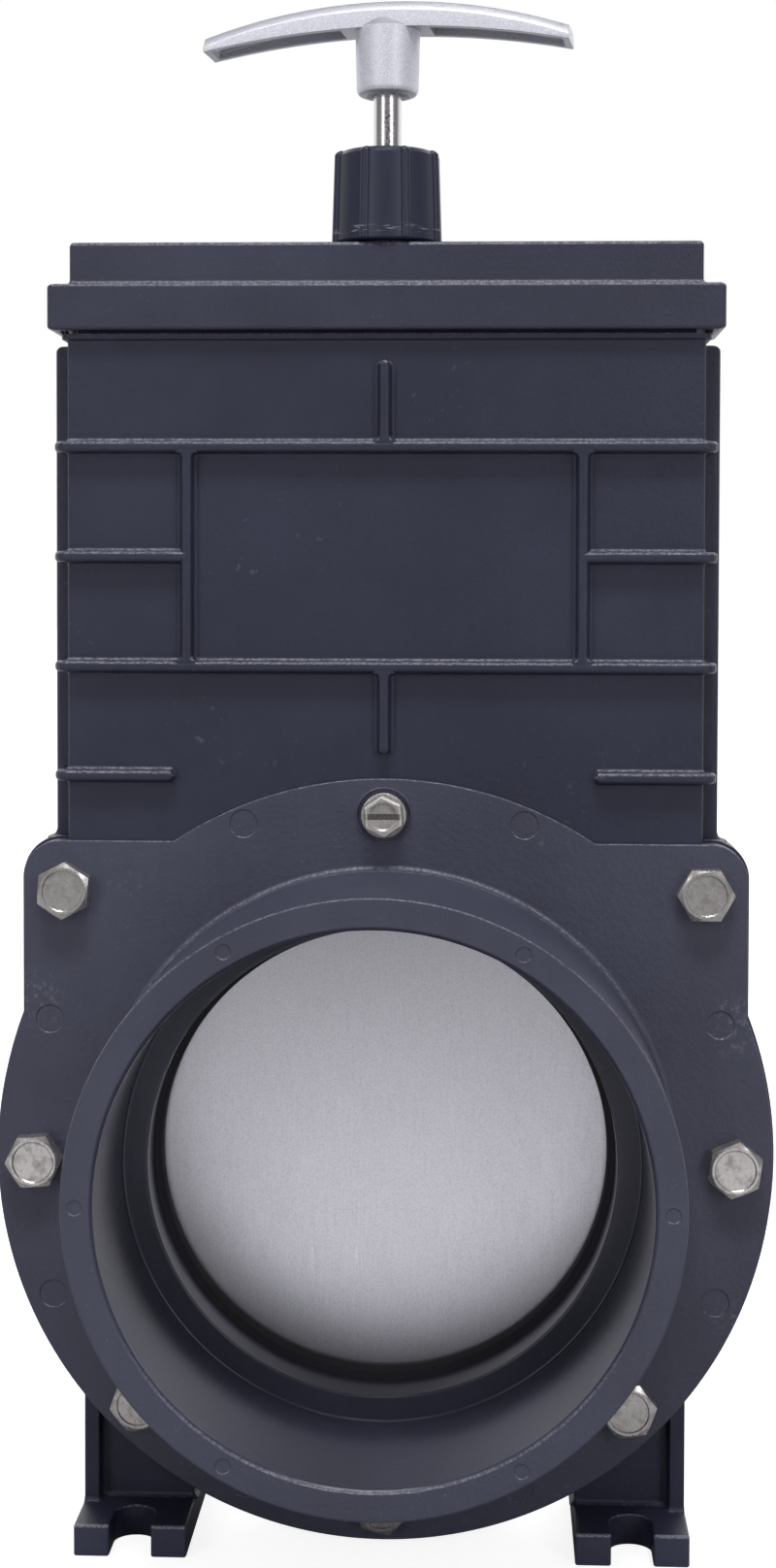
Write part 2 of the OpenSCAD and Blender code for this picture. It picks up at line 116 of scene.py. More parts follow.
class HubSizes(bpy.types.PropertyGroup):
    """Sizes of the two hubs and their flanges."""

    flange_r: size("Flange radius", "Radius of the flange below the ears", HUB_HIGH.x)
    top_r: size("Top radius", "Radius of the flange's top arc", HUB_HIGH.z - BORE_Z)
    ear_x: size("Ear width", "From the middle to an ear's side", 80.55 * MM)
    ear_rise: size("Ear height", "From the bore's axis to the ears' level top", 70.15 * MM)
    ear_r: size("Ear corner", "Radius of an ear's corner", 8.2 * MM)
    plate_y: size("Flange back", "From the mid-plane to the flange's back", -HUB_HIGH.y)
    face_y: size("Flange face", "From the mid-plane to the flange's face", FACE_Y)
    rim_y: size("Rim", "From the mid-plane to the hub's rim", -HUB_LOW.y)
    stop_y: size("Pipe stop", "From the mid-plane to the stop inside the socket", 17.5 * MM)
    hub_r: size("Hub radius", "Outer radius of the hub", 63.95 * MM)
    socket_r: size("Socket radius", "Inner radius of the socket", 57.25 * MM)
    bore_r: size("Bore radius", "Radius of the bore past the pipe stop", 51.75 * MM)
    fillet: size("Root fillet", "Fillet between the hub and its flange", 1.1 * MM)
    arris: size("Edge radius", "Rounding of the flange's front edge", 0.35 * MM)
    mouth: size("Mouth chamfer", "Chamfer at the socket's mouth", 0.75 * MM)
    mark_r: size("Mark radius", "Radius of the round marks that the mould's pins leave", 3.2 * MM)
    rim_mark_r: size("Rim mark radius", "Radius of the small round marks on the rim", 1.65 * MM)
    rim_marks: IntProperty(name="Rim marks", description="Round marks on each rim", default=6, min=0)


class BodySizes(bpy.types.PropertyGroup):
    """Sizes of the moulded body."""

    plate_margin: size("Plate margin", "How far the body's plate stands out past the flanges", 0.7 * MM)
    housing_x: size("Housing width", "From the middle to the housing's side", 70.55 * MM)
    housing_y: size("Housing depth", "From the mid-plane to the housing's panel", 10.0 * MM)
    housing_r: size("Housing corner", "Radius of the housing's upright corners", 0.7 * MM)
    wall: size("Wall", "Thickness of the housing's wall", 2.6 * MM)
    throat_gap: size("Throat gap", "From the blade's side to the throat's end", 5.0 * MM)
    throat_y: size("Throat depth", "From the mid-plane to the throat's face", 5.375 * MM)
    lip: size("Lip", "How far the lip under the lid stands out", 1.3 * MM)
    rib_w: size("Rib width", "Thickness of a rib", 2.6 * MM)
    rib_h: size("Rib height", "How far a rib stands out from the panel", 2.9 * MM)
    rib_edge: size("Rib edge", "Rounding of a rib's edges", 0.95 * MM)
    rib_fillet: size("Rib fillet", "Fillet at a rib's root", 0.8 * MM)
    rib_drop: size("Rib drop", "From the housing's top to the first level rib", 26.0 * MM)
    rib_pitch: size("Rib pitch", "From one level rib to the next", 24.3 * MM)
    upright_x: size("Upright rib", "From the middle to an upright rib", 43.75 * MM)
    fin_w: size("Fin width", "How far a side fin stands out", 3.9 * MM)
    fin_t: size("Fin thickness", "Thickness of a side fin", 7.0 * MM)
    fin_edge: size("Fin edge", "Rounding of a fin's edges and of its top", 1.3 * MM)
    fin_fillet: size("Fin fillet", "Fillet where a fin meets the ear", 2.2 * MM)
    foot_x: size("Foot side", "From the middle to a foot's outer side", 67.85 * MM)
    foot_w: size("Foot width", "Width of a foot", 25.0 * MM)
    foot_d: size("Foot length", "Length of a foot, front to rear", 41.0 * MM)
    foot_t: size("Foot height", "Height of a foot's slotted plate", 6.9 * MM)
    slot_w: size("Slot width", "Width of a foot's open slot", 9.3 * MM)
    slot_l: size("Slot length", "Length of a foot's open slot", 12.0 * MM)
    web: size("Web", "Thickness of a foot's web", 6.0 * MM)
    outer_rib: size("Outer rib", "Width of the rib at a foot's outer side", 3.4 * MM)


class LidSizes(bpy.types.PropertyGroup):
    """Sizes of the two-tier lid."""

    half_x: size("Half width", "From the middle to the lower tier's end", LID_HIGH.x)
    half_y: size("Half depth", "From the mid-plane to the lower tier's face", LID_HIGH.y)
    low_z: size("Underside", "Height of the lid's underside", LID_LOW.z)
    low_h: size("Lower tier", "Height of the lower tier", 9.8 * MM)
    top_h: size("Upper tier", "Height of the upper tier", 9.3 * MM)
    step_x: size("End step", "How far the upper tier is set back at its ends", 4.9 * MM)
    step_y: size("Face step", "How far the upper tier is set back at its faces", 1.5 * MM)
    corner: size("Corner", "Radius of the upright corners", 1.3 * MM)
    neck_r: size("Neck radius", "Radius of the neck inside the packing nut", 8.5 * MM)
    hole_r: size("Rod hole", "Radius of the hole for the rod", 3.275 * MM)


class NutSizes(bpy.types.PropertyGroup):
    """Sizes of the packing nut."""

    foot_r: size("Foot radius", "Radius of the nut at its foot", 12.25 * MM)
    draft: size("Draft", "How much narrower the nut is at its top", 0.65 * MM)
    bevel: size("Bevel", "Bevel round the nut's top", 1.0 * MM)
    rib_r: size("Rib radius", "Radius of a grip rib", 1.2 * MM)
    ribs: IntProperty(name="Ribs", description="Grip ribs round the nut", default=8, min=3)


class GateSizes(bpy.types.PropertyGroup):
    """Sizes of the blade, its seals and the rod."""

    blade_r: size("Blade radius", "Radius of the blade's round foot", BLADE_HIGH.x)
    blade_top: size("Blade top", "From the bore's axis to the blade's top", BLADE_HIGH.z - BORE_Z)
    blade_y: size("Blade half thickness", "Half of the blade's thickness", BLADE_HIGH.y)
    corner: size("Blade corner", "Cut at the blade's top corners", 6.0 * MM)
    seal_r: size("Seal radius", "Inner radius of the seals", 50.15 * MM)
    seal_out: size("Seal outer radius", "Outer radius of the seals", SEAL_HIGH.x)
    rod_r: size("Rod radius", "Radius of the rod", 3.175 * MM)
    head_r: size("Rod head radius", "Radius of the rod's head in the yoke", ROD_HIGH.x)
    head_h: size("Rod head height", "Height of the rod's head", 2.4 * MM)


class HandleSizes(bpy.types.PropertyGroup):
    """Sizes of the cast handle."""

    half: size("Half length", "Half of the bar's length", 41.25 * MM)
    half_y: size("Half depth", "Half of the bar's depth", 5.45 * MM)
    rise: size("Rise", "How far the bar's arch rises", 6.8 * MM)
    mid_h: size("Middle height", "Height of the bar at its middle", 6.2 * MM)
    end_h: size("End height", "Height of the bar at its ends", 3.6 * MM)
    chamfer: size("Chamfer", "Height of the sloping band along the bar's top", 2.4 * MM)
    wall: size("Wall", "Wall of the channel under the bar", 1.6 * MM)
    boss_r: size("Boss radius", "Radius of the boss under the bar", 7.25 * MM)
    boss_h: size("Boss height", "Height of the boss", 14.4 * MM)
    boss_edge: size("Boss edge", "Rounding of the boss's foot", 1.6 * MM)
    recess_r: size("Recess radius", "Radius of the recess in the boss's foot", 4.95 * MM)
    swing: turn("Swing", "How far the handle is turned about the rod", -7.6)


class HardwareSizes(bpy.types.PropertyGroup):
    """Sizes of the bolts, nuts and screws."""

    flats: size("Across flats", "Width of a bolt's head and nut across its flats", 11.11 * MM)
    head_h: size("Head height", "Height of a bolt's head", 4.0 * MM)
    nut_h: size("Nut height", "Height of a nut", 5.4 * MM)
    crown_r: size("Crown radius", "Radius of the flat crown inside the chamfer", 5.15 * MM)
    shank_r: size("Shank radius", "Radius of a bolt's shank", 3.1 * MM)
    thread: size("Thread pitch", "Pitch of a bolt's thread", 1.27 * MM)
    edge: size("Edge", "Bevel of a bolt's and a nut's top edges", 0.25 * MM)
    bolt_turns: turn_row("Bolt turns", "Turn of each bolt's head, by name", (46, 10, 8, 4, 22, 27, 0))
    nut_turns: turn_row("Nut turns", "Turn of each nut, by name", (17, 28, 51, 40, 5, 48, 25))
    screw_edge: size("Screw edge", "Bevel of the screw hex's top edges", 0.35 * MM)
    dish: size("Dish", "Depth of the shallow dish in a bolt's head", 0.26 * MM)
    washer_r: size("Washer radius", "Radius of the screw's washer flange", 5.0 * MM)
    washer_h: size("Washer height", "Height of the screw's washer flange", 1.2 * MM)
    screw_flats: size("Screw across flats", "Width of the screw's hex across its flats", 7.94 * MM)
    screw_h: size("Screw hex height", "Height of the screw's hex", 3.2 * MM)
    screw_r: size("Screw radius", "Radius of the screw's shank", 2.4 * MM)
    screw_turn: turn("Screw turn", "How far the screw's top corner leans to the left", 4.5)
    slot_w: size("Slot width", "Width of the screw's slot", 1.3 * MM)
    slot_h: size("Slot depth", "Depth of the screw's slot", 2.3 * MM)
    screw_dish_r: size("Screw dish radius", "Radius of the dish in the screw's hex", 3.2 * MM)
    recess: size("Recess", "Depth of the recess round the screw", 0.6 * MM)
    recess_lip: size("Recess lip", "Half thickness of the lip round the recess", 0.2 * MM)


class Finishes(bpy.types.PropertyGroup):
    """Colours of the finishes."""

    body: tint("Body", "Grained plastic of the body", (0.024, 0.026, 0.049))
    lid: tint("Lid", "Plastic of the lid", (0.034, 0.036, 0.060))
    hub: tint("Hub", "Plastic of the hubs", (0.055, 0.057, 0.088))
    nut: tint("Packing nut", "Plastic of the packing nut", (0.023, 0.026, 0.049))
    rubber: tint("Rubber", "Rubber of the seals", (0.004, 0.004, 0.005))
    blade: tint("Blade", "Brushed steel of the blade", (0.72, 0.71, 0.78))
    rod: tint("Rod", "Bright steel of the rod", (0.72, 0.70, 0.72))
    alloy: tint("Handle", "Cast alloy of the handle", (0.61, 0.61, 0.68))
    bolt: tint("Bolts", "Stainless steel of the bolts", (0.58, 0.55, 0.55))
    packing: tint("Packing", "Packing round the rod", (0.62, 0.60, 0.52))
    floor: tint("Floor", "Floor", (0.60, 0.60, 0.61))


class StudioSizes(bpy.types.PropertyGroup):
    """The camera and the lights."""

    lens: FloatProperty(
        name="Lens", description="Focal length of the camera", default=53.55, subtype="DISTANCE_CAMERA"
    )
    eye: FloatVectorProperty(
        name="Eye", description="Where the camera stands", default=(0.0233, -0.5259, 0.21375),
        size=3, subtype="TRANSLATION", unit="LENGTH",
    )
    heading: turn("Heading", "How far the camera is turned to the left", 2.31)
    tilt: turn("Tilt", "How far the camera looks down", 1.92)
    roll: turn("Roll", "How far the camera leans", 0.15)
    shift_x: FloatProperty(name="Shift X", description="Sideways shift of the lens", default=-0.00476)
    shift_y: FloatProperty(name="Shift Y", description="Upright shift of the lens", default=-0.0744)


def middle(node):
    """The middle of a CAD node in X and Z."""
    low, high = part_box(node)
    return (low.x + high.x) / 2, (low.z + high.z) / 2


# Outlines and meshes


def arc(centre, radius, start, stop, steps):
    """Points of an arc about a centre, from one angle to another in degrees."""
    angles = [math.radians(start + (stop - start) * i / steps) for i in range(steps + 1)]
    return [(centre[0] + radius * math.cos(a), centre[1] + radius * math.sin(a)) for a in angles]


def circle(radius, steps, centre=(0.0, 0.0)):
    """Points of a circle about a centre."""
    return arc(centre, radius, 0, 360, steps)[:-1]


def between(a, b, steps):
    """Points inside the line from a to b, without its ends."""
    return [tuple(p + (q - p) * i / steps for p, q in zip(a, b)) for i in range(1, steps)]


def round_box(half_x, half_y, radius, steps=6):
    """The outline of a box with round corners, from its right side round to the left."""
    radius = max(radius, 0.01 * MM)
    points = []
    for quarter, (sx, sy) in enumerate(((1, 1), (-1, 1), (-1, -1), (1, -1))):
        centre = (sx * (half_x - radius), sy * (half_y - radius))
        points += arc(centre, radius, 90 * quarter, 90 * quarter + 90, steps)
    return points


def grown(points, distance):
    """A closed outline, counter-clockwise, moved outwards by a distance along its corners' normals."""
    made = []
    for i, here in enumerate(points):
        before, after = Vector(points[i - 1]), Vector(points[(i + 1) % len(points)])
        here = Vector(here)
        a = (here - before).normalized()
        b = (after - here).normalized()
        normal = Vector((a.y + b.y, -a.x - b.x))
        normal.normalize()
        reach = max(0.4, normal.dot(Vector((a.y, -a.x))))
        made.append(tuple(here + normal * (distance / reach)))
    return made


def circle_like(points, radius):
    """The points of an outline round the middle, each moved along its own direction to a circle."""
    return [(x * radius / math.hypot(x, y), y * radius / math.hypot(x, y)) for x, y in points]


def upright(points, y):
    """An outline about the bore's axis, in X and Z, stood up at y."""
    return [(x, y, BORE_Z + z) for x, z in points]


def level(points, z):
    """An outline in X and Y, laid level at z."""
    return [(x, y, z) for x, y in points]


def loft(rings, joined=False, capped=False):
    """Faces between rings that have as many points each. joined closes the last ring to the first."""
    count = len(rings[0])
    faces = []
    for i in range(len(rings) if joined else len(rings) - 1):
        a = i * count
        b = (i + 1) % len(rings) * count
        for j in range(count):
            k = (j + 1) % count
            faces.append((a + j, a + k, b + k, b + j))
    if capped:
        faces.append(tuple(range(count)))
        faces.append(tuple(range(count * (len(rings) - 1), count * len(rings))))
    return [p for ring in rings for p in ring], faces


def mirrored(half):
    """An outline from its upper half, closed by the same half turned over."""
    return half + [(x, -y) for x, y in reversed(half)]


def turned(profile, steps, joined=True):
    """A profile of (radius, z) turned about the upright axis: a ring of wall, or a solid with two ends."""
    rings = [level(circle(max(r, 0.001 * MM), steps), z) for r, z in profile]
    return loft(rings, joined=joined, capped=not joined)


def spun(profile, centre, steps, joined=False):
    """A profile of (radius, y) turned about a line along Y, through a centre given from the bore's axis."""
    rings = [upright(circle(r, steps, centre), y) for r, y in profile]
    return loft(rings, joined=joined, capped=not joined)


def ball(centre, radii, steps=16):
    """A ball about a centre, with its own radius along each axis."""
    rings = []
    for a in [-89] + [-90 + 180 * i / (steps // 2) for i in range(1, steps // 2)] + [89]:
        c = math.cos(math.radians(a))
        z = centre[2] + radii[2] * math.sin(math.radians(a))
        points = circle(1.0, steps)
        rings.append([(centre[0] + x * c * radii[0], centre[1] + y * c * radii[1], z) for x, y in points])
    return loft(rings, capped=True)


def joined_mesh(name, parts):
    """One mesh from parts, each a list of points and a list of faces, with its faces pointing outwards."""
    shape = bmesh.new()
    for points, faces in parts:
        corners = [shape.verts.new(p) for p in points]
        for face in faces:
            shape.faces.new([corners[i] for i in face])
    bmesh.ops.remove_doubles(shape, verts=shape.verts, dist=0.002 * MM)
    bmesh.ops.dissolve_degenerate(shape, edges=shape.edges, dist=0.001 * MM)
    bmesh.ops.recalc_face_normals(shape, faces=shape.faces)
    mesh = bpy.data.meshes.new(name)
    shape.to_mesh(mesh)
    shape.free()
    return mesh


def new_object(name, mesh):
    """An object in the scene that holds a mesh."""
    made = bpy.data.objects.new(name, mesh)
    bpy.context.scene.collection.objects.link(made)
    return made


def solid(name, *parts):
    """An object whose mesh is joined from closed parts."""
    return new_object(name, joined_mesh(name, parts))


def settle(made):
    """Turns what an object's modifiers make into its own plain mesh."""
    graph = bpy.context.evaluated_depsgraph_get()
    mesh = bpy.data.meshes.new_from_object(made.evaluated_get(graph))
    made.modifiers.clear()
    made.data = mesh
    mesh.name = made.name


def combine(made, tool, operation="DIFFERENCE"):
    """Cuts a tool out of an object, or joins it on, and removes the tool."""
    step = made.modifiers.new("Cut", "BOOLEAN")
    step.operation = operation
    step.solver = "EXACT"
    step.object = tool
    settle(made)
    bpy.data.objects.remove(tool)


def finish(made, looks, body, nodes, sharp=32.0):
    """Shades an object's faces, gives it a material, and puts it on its body in place of CAD nodes."""
    mesh = made.data
    mesh.materials.clear()
    mesh.materials.append(material(looks))
    for face in mesh.polygons:
        face.use_smooth = True
        face.material_index = 0
    mesh.set_sharp_from_angle(angle=math.radians(sharp))
    step = made.modifiers.new("Flat faces stay flat", "WEIGHTED_NORMAL")
    step.keep_sharp = True
    step.weight = 100
    settle(made)
    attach(made, body)
    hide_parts(*nodes)


def finish_body(made):
    """Finishes one of the objects that make up the moulded body."""
    finish(made, "body_plastic", "valve", ["valve_body"])


# Node trees


class Value:
    """A socket of a node tree. Arithmetic on it adds Math nodes."""

    def __init__(self, tree, socket):
        self.tree = tree
        self.socket = socket

    def __add__(self, other):
        return self.tree.math("ADD", self, other)

    def __radd__(self, other):
        return self.tree.math("ADD", other, self)

    def __sub__(self, other):
        return self.tree.math("SUBTRACT", self, other)

    def __rsub__(self, other):
        return self.tree.math("SUBTRACT", other, self)

    def __mul__(self, other):
        return self.tree.math("MULTIPLY", self, other)

    def __truediv__(self, other):
        return self.tree.math("DIVIDE", self, other)

    def __abs__(self):
        return self.tree.math("ABSOLUTE", self)


class Tree:
    """Adds nodes to a shader's, a world's or a geometry's node tree."""

    def __init__(self, nodes):
        self.nodes = nodes

    def add(self, kind, settings=None, sockets=None, output=0):
        """Adds a node: its settings first, then the values or links of its sockets."""
        node = self.nodes.nodes.new(kind)
        for key, value in (settings or {}).items():
            setattr(node, key, value)
        for key, value in (sockets or {}).items():
            for one in value if isinstance(value, list) else [value]:
                self.feed(node.inputs[key], one)
        return Value(self, node.outputs[output]) if node.outputs else node

    def feed(self, socket, value):
        """Links a value to a socket, or sets the socket's own value."""
        if isinstance(value, Value):
            self.nodes.links.new(value.socket, socket)
        else:
            socket.default_value = value

    def math(self, operation, a, b=0.0):
        """A Math node."""
        return self.add("ShaderNodeMath", {"operation": operation}, {0: a, 1: b})

    def mix(self, factor, a, b):
        """A colour between two colours, each a value or red, green and blue."""
        a, b = ((*c, 1.0) if isinstance(c, tuple) else c for c in (a, b))
        return self.add("ShaderNodeMix", {"data_type": "RGBA"}, {0: factor, 6: a, 7: b}, output=2)

    def part(self, vector, axis):
        """One coordinate of a vector."""
        return self.add("ShaderNodeSeparateXYZ", {}, {"Vector": vector}, output=axis)

    def smooth(self, value, low, high, to_low=0.0, to_high=1.0):
        """A value's smooth way from one level to another."""
        sockets = {"Value": value, "From Min": low, "From Max": high, "To Min": to_low, "To Max": to_high}
        return self.add("ShaderNodeMapRange", {"interpolation_type": "SMOOTHSTEP"}, sockets)

    def fade(self, value, low, high, start=1.0):
        """A value's smooth way down to nothing."""
        return self.smooth(value, low, high, start, 0.0)

    def ray(self, kind):
        """Whether what looks at the surface is a ray of one kind, such as Camera."""
        return self.add("ShaderNodeLightPath", output=f"Is {kind} Ray")


class Shader(Tree):
    """A material whose surface is one Principled shader."""

    def __init__(self, name, colour, roughness=0.5, metallic=0.0, specular=None):
        self.material = bpy.data.materials.new(name)
        self.material.use_nodes = True
        super().__init__(self.material.node_tree)
        self.surface = self.nodes.nodes["Principled BSDF"]
        self.colour = tuple(colour)
        self.set("Base Color", (*colour, 1.0))
        self.set("Roughness", roughness)
        self.set("Metallic", metallic)
        if specular:
            self.set("IOR", 1.5)
            self.set("Specular IOR Level", specular)
        self.place = self.add("ShaderNodeTexCoord", output="Object")

    def set(self, name, value):
        """Sets or links one socket of the Principled shader."""
        self.feed(self.surface.inputs[name], value)

    def noise(self, scale, detail=2.0, roughness=0.5, place=None):
        """Noise of a scale in features a metre."""
        where = place or self.place
        sockets = {"Vector": where, "Scale": scale, "Detail": detail, "Roughness": roughness}
        return self.add("ShaderNodeTexNoise", {}, sockets)

    def streaks(self, detail, roughness, scales, turn_y=0.0):
        """Noise stretched by its own number of features a metre along each axis."""
        sockets = {"Vector": self.place, "Rotation": (0.0, turn_y, 0.0), "Scale": scales}
        return self.noise(1.0, detail, roughness, self.add("ShaderNodeMapping", {}, sockets))

    def axis(self, name):
        """One of the object's coordinates."""
        return self.part(self.place, name)

    def facing(self, axis):
        """One coordinate of the face's direction."""
        return self.part(self.add("ShaderNodeTexCoord", output="Normal"), axis)

    def far(self, x, z):
        """Distance from two offsets."""
        return self.math("SQRT", x * x + z * z)

    def bump(self, height, distance):
        """Bends the surface's normal by a height."""
        sockets = {"Height": height, "Distance": distance, "Strength": 1.0}
        self.set("Normal", self.add("ShaderNodeBump", {}, sockets))

    def shade(self, factor, towards):
        """Mixes the base colour towards another colour."""
        self.set("Base Color", self.mix(factor, self.colour, towards))


class Geometry(Tree):
    """A Geometry Nodes tree. Its inputs are the object's mesh, named sizes, and the material."""

    def __init__(self, name, inputs):
        group = bpy.data.node_groups.new(name, "GeometryNodeTree")
        super().__init__(group)
        self.ids = {}
        for label, kind in {"Geometry": "Geometry", **inputs, "Material": "Material"}.items():
            kind = f"NodeSocket{kind}"
            socket = group.interface.new_socket(name=label, in_out="INPUT", socket_type=kind)
            self.ids[label] = socket.identifier
        group.interface.new_socket(name="Geometry", in_out="OUTPUT", socket_type="NodeSocketGeometry")
        self.input = group.nodes.new("NodeGroupInput")

    def get(self, *labels):
        """The value of a named input, or a list of the values of several."""
        values = [Value(self, self.input.outputs[label]) for label in labels]
        return values if len(values) > 1 else values[0]

    def lifted(self, kind, sockets, z):
        """A simple solid, moved up."""
        shape = self.add(kind, {}, sockets)
        lift = self.add("ShaderNodeCombineXYZ", {}, {"Z": z})
        return self.add("GeometryNodeTransform", {}, {"Geometry": shape, "Translation": lift})

    def own_turn(self):
        """Each point's own turn, from its attribute."""
        settings = {"data_type": "FLOAT_VECTOR"}
        return self.add("GeometryNodeInputNamedAttribute", settings, {"Name": "turn"})

    def end(self, points, shape, **rotation):
        """Ends the tree in copies of a shape on points, as plain faces with the material."""
        sockets = {"Points": points, "Instance": shape, **rotation}
        copies = self.add("GeometryNodeInstanceOnPoints", {}, sockets)
        real = self.add("GeometryNodeRealizeInstances", {}, {"Geometry": copies})
        sockets = {"Geometry": real, "Material": self.get("Material")}
        dressed = self.add("GeometryNodeSetMaterial", {}, sockets)
        self.add("NodeGroupOutput", {}, {"Geometry": dressed})
        return self

    def run(self, made, looks, values):
        """Puts the tree on an object, sets its inputs and keeps the result as a plain mesh."""
        step = made.modifiers.new(self.nodes.name, "NODES")
        step.node_group = self.nodes
        for label, value in {**values, "Material": material(looks)}.items():
            step[self.ids[label]] = value
        settle(made)


def row_tree():
    """Copies of the object's mesh in a straight row."""
    tree = Geometry("Row of copies", {"Count": "Int", "Step": "Vector"})
    count, step = tree.get("Count", "Step")
    line = tree.add("GeometryNodeMeshLine", {"mode": "OFFSET"}, {"Count": count, "Offset": step})
    return tree.end(line, tree.get("Geometry"))


def ring_tree():
    """Copies of the object's mesh, evenly turned about an axis through a centre."""
    inputs = {"Count": "Int", "Centre": "Vector", "Axis": "Vector", "First turn": "Float"}
    tree = Geometry("Ring of copies", inputs)
    count, centre, axis, first = tree.get(*inputs)
    points = tree.add("GeometryNodePoints", {}, {"Count": count, "Position": centre})
    index = tree.add("GeometryNodeInputIndex")
    angle = index * (2 * math.pi) / count + first
    rotation = tree.add("FunctionNodeAxisAngleToRotation", {}, {"Axis": axis, "Angle": angle})
    return tree.end(points, tree.get("Geometry"), Rotation=rotation)


def ring_of(made, looks, count, axis=(0.0, 0.0, 1.0), centre=(0.0, 0.0, 0.0), first=0.0):
    """Repeats an object's mesh in a ring about an axis, by default the upright one."""
    ring_tree().run(made, looks, {"Count": count, "Centre": centre, "Axis": axis, "First turn": first})


def hex_tree():
    """A hexagon at each of the object's points, turned by the point's own turn. Its top edges are
    bevelled, its corners are cut to a cone, and its top has a shallow dish with a sloping wall."""
    labels = ("Across flats", "Height", "Crown radius", "Dish radius", "Dish depth", "Edge")
    tree = Geometry("Hexagons", {label: "Float" for label in labels})
    flats, height, crown, dish_r, dish_h, edge = tree.get(*labels)
    corner = flats * (1 / math.sqrt(3))
    sockets = {"Vertices": 6, "Radius": corner, "Depth": height}
    shapes = [tree.lifted("GeometryNodeMeshCylinder", sockets, height * 0.5)]
    bevel_spread = 1.2
    crown_spread = 1 / math.tan(math.radians(30))
    for sides, top, spread in ((6, corner - edge, bevel_spread), (72, crown, crown_spread)):
        wide = top + height * spread
        sockets = {"Vertices": sides, "Radius Top": top, "Radius Bottom": wide, "Depth": height}
        shapes.append(tree.add("GeometryNodeMeshCone", {}, sockets))
    settings = {"operation": "INTERSECT", "solver": "EXACT"}
    whole = tree.add("GeometryNodeMeshBoolean", settings, {"Mesh 2": shapes})
    radii = {"Radius Top": dish_r + dish_h, "Radius Bottom": dish_r - dish_h}
    sockets = {"Vertices": 72, "Depth": dish_h * 2.0, **radii}
    dish = tree.lifted("GeometryNodeMeshCone", sockets, height - dish_h)
    settings = {"operation": "DIFFERENCE", "solver": "EXACT"}
    whole = tree.add("GeometryNodeMeshBoolean", settings, {"Mesh 1": whole, "Mesh 2": dish})
    return tree.end(tree.get("Geometry"), whole, Rotation=tree.own_turn())


def thread_tree():
    """A threaded bolt end at each of the object's points: a core with a ridge wound round it."""
    labels = ("Radius", "Length", "Pitch")
    tree = Geometry("Bolt ends", {label: "Float" for label in labels})
    radius, length, pitch = tree.get(*labels)
    core = radius - pitch * 0.45
    radii = {"Start Radius": core, "End Radius": core}
    height = length - pitch * 0.7
    sockets = {"Resolution": 32, "Rotations": height / pitch, "Height": height, **radii}
    path = tree.add("GeometryNodeCurveSpiral", {}, sockets)
    ridge = tree.add("GeometryNodeCurvePrimitiveCircle", {}, {"Resolution": 4, "Radius": pitch * 0.45})
    sockets = {"Curve": path, "Profile Curve": ridge, "Fill Caps": True}
    thread = tree.add("GeometryNodeCurveToMesh", {}, sockets)
    straight = length - pitch * 0.4
    sockets = {"Vertices": 48, "Radius Top": core * 0.8, "Radius Bottom": core, "Depth": pitch * 0.4}
    tip = tree.lifted("GeometryNodeMeshCone", sockets, straight)
    sockets = {"Vertices": 48, "Radius": core, "Depth": straight}
    shank = tree.lifted("GeometryNodeMeshCylinder", sockets, straight * 0.5)
    whole = tree.add("GeometryNodeJoinGeometry", {}, {"Geometry": [thread, tip, shank]})
    return tree.end(tree.get("Geometry"), whole, Rotation=tree.own_turn())


def points_object(name, places):
    """An object of loose points, from (point, turn) pairs. A turn is three angles."""
    mesh = bpy.data.meshes.new(name)
    mesh.from_pydata([p for p, _ in places], [], [])
    turns = mesh.attributes.new("turn", "FLOAT_VECTOR", "POINT")
    for item, (_, angles) in zip(turns.data, places):
        item.vector = angles
    return new_object(name, mesh)


# Materials


def edge_facing(made):
    """How far a face belongs to a round edge between a front or rear face and a face that points up,
    where the plastic gets a painted highlight.
    """
    return made.smooth(made.facing("Z"), 0.22, 0.5) * made.smooth(abs(made.facing("Y")), 0.16, 0.42)


def scarred(made, x, z, spots):
    """How far a point lies in one of the scarred places, each (x, height above the bore's axis, radius)."""
    front = made.fade(made.axis("Y"), -2.0 * MM, -1.0 * MM)
    whole = 0.0
    for spot_x, spot_z, radius in spots:
        whole = made.fade(made.far(x - spot_x, z - spot_z), 0.55 * radius, radius) + whole
    return whole * front


def foot_masks(made, height):
    """How far a point lies on a foot's front end, which is painted paler as painted light, on the painted
    highlight line along that end's top edge, and clear of the fillet over the foot's plate."""
    body = bpy.context.scene.valve_body
    over = height - body.foot_t
    end = made.fade(made.axis("Y") + body.foot_d / 2, 0.7 * MM, 0.9 * MM)
    end = end * made.fade(over, 0.1 * MM, 0.3 * MM)
    # Painted highlight along this line: the top edge of a foot's front end is painted paler.
    line = end * made.smooth(over, -0.6 * MM, -0.4 * MM)
    return end, line, made.smooth(abs(over - 1.3 * MM), 1.0 * MM, 1.3 * MM)


def rubbed(made, x, z, outside, spots):
    """How far the plastic is rubbed: in wide faint patches, and harder in the scarred places."""
    patches = made.smooth(made.noise(34.0), 0.56, 0.68)
    rubs = made.smooth(made.noise(420.0, 4.0, 0.7), 0.60, 0.70) * patches * outside
    if not spots:
        return rubs
    scratches = made.smooth(made.noise(700.0, 5.0, 0.75), 0.53, 0.60)
    return rubs + scratches * scarred(made, x, z, spots) * 1.6


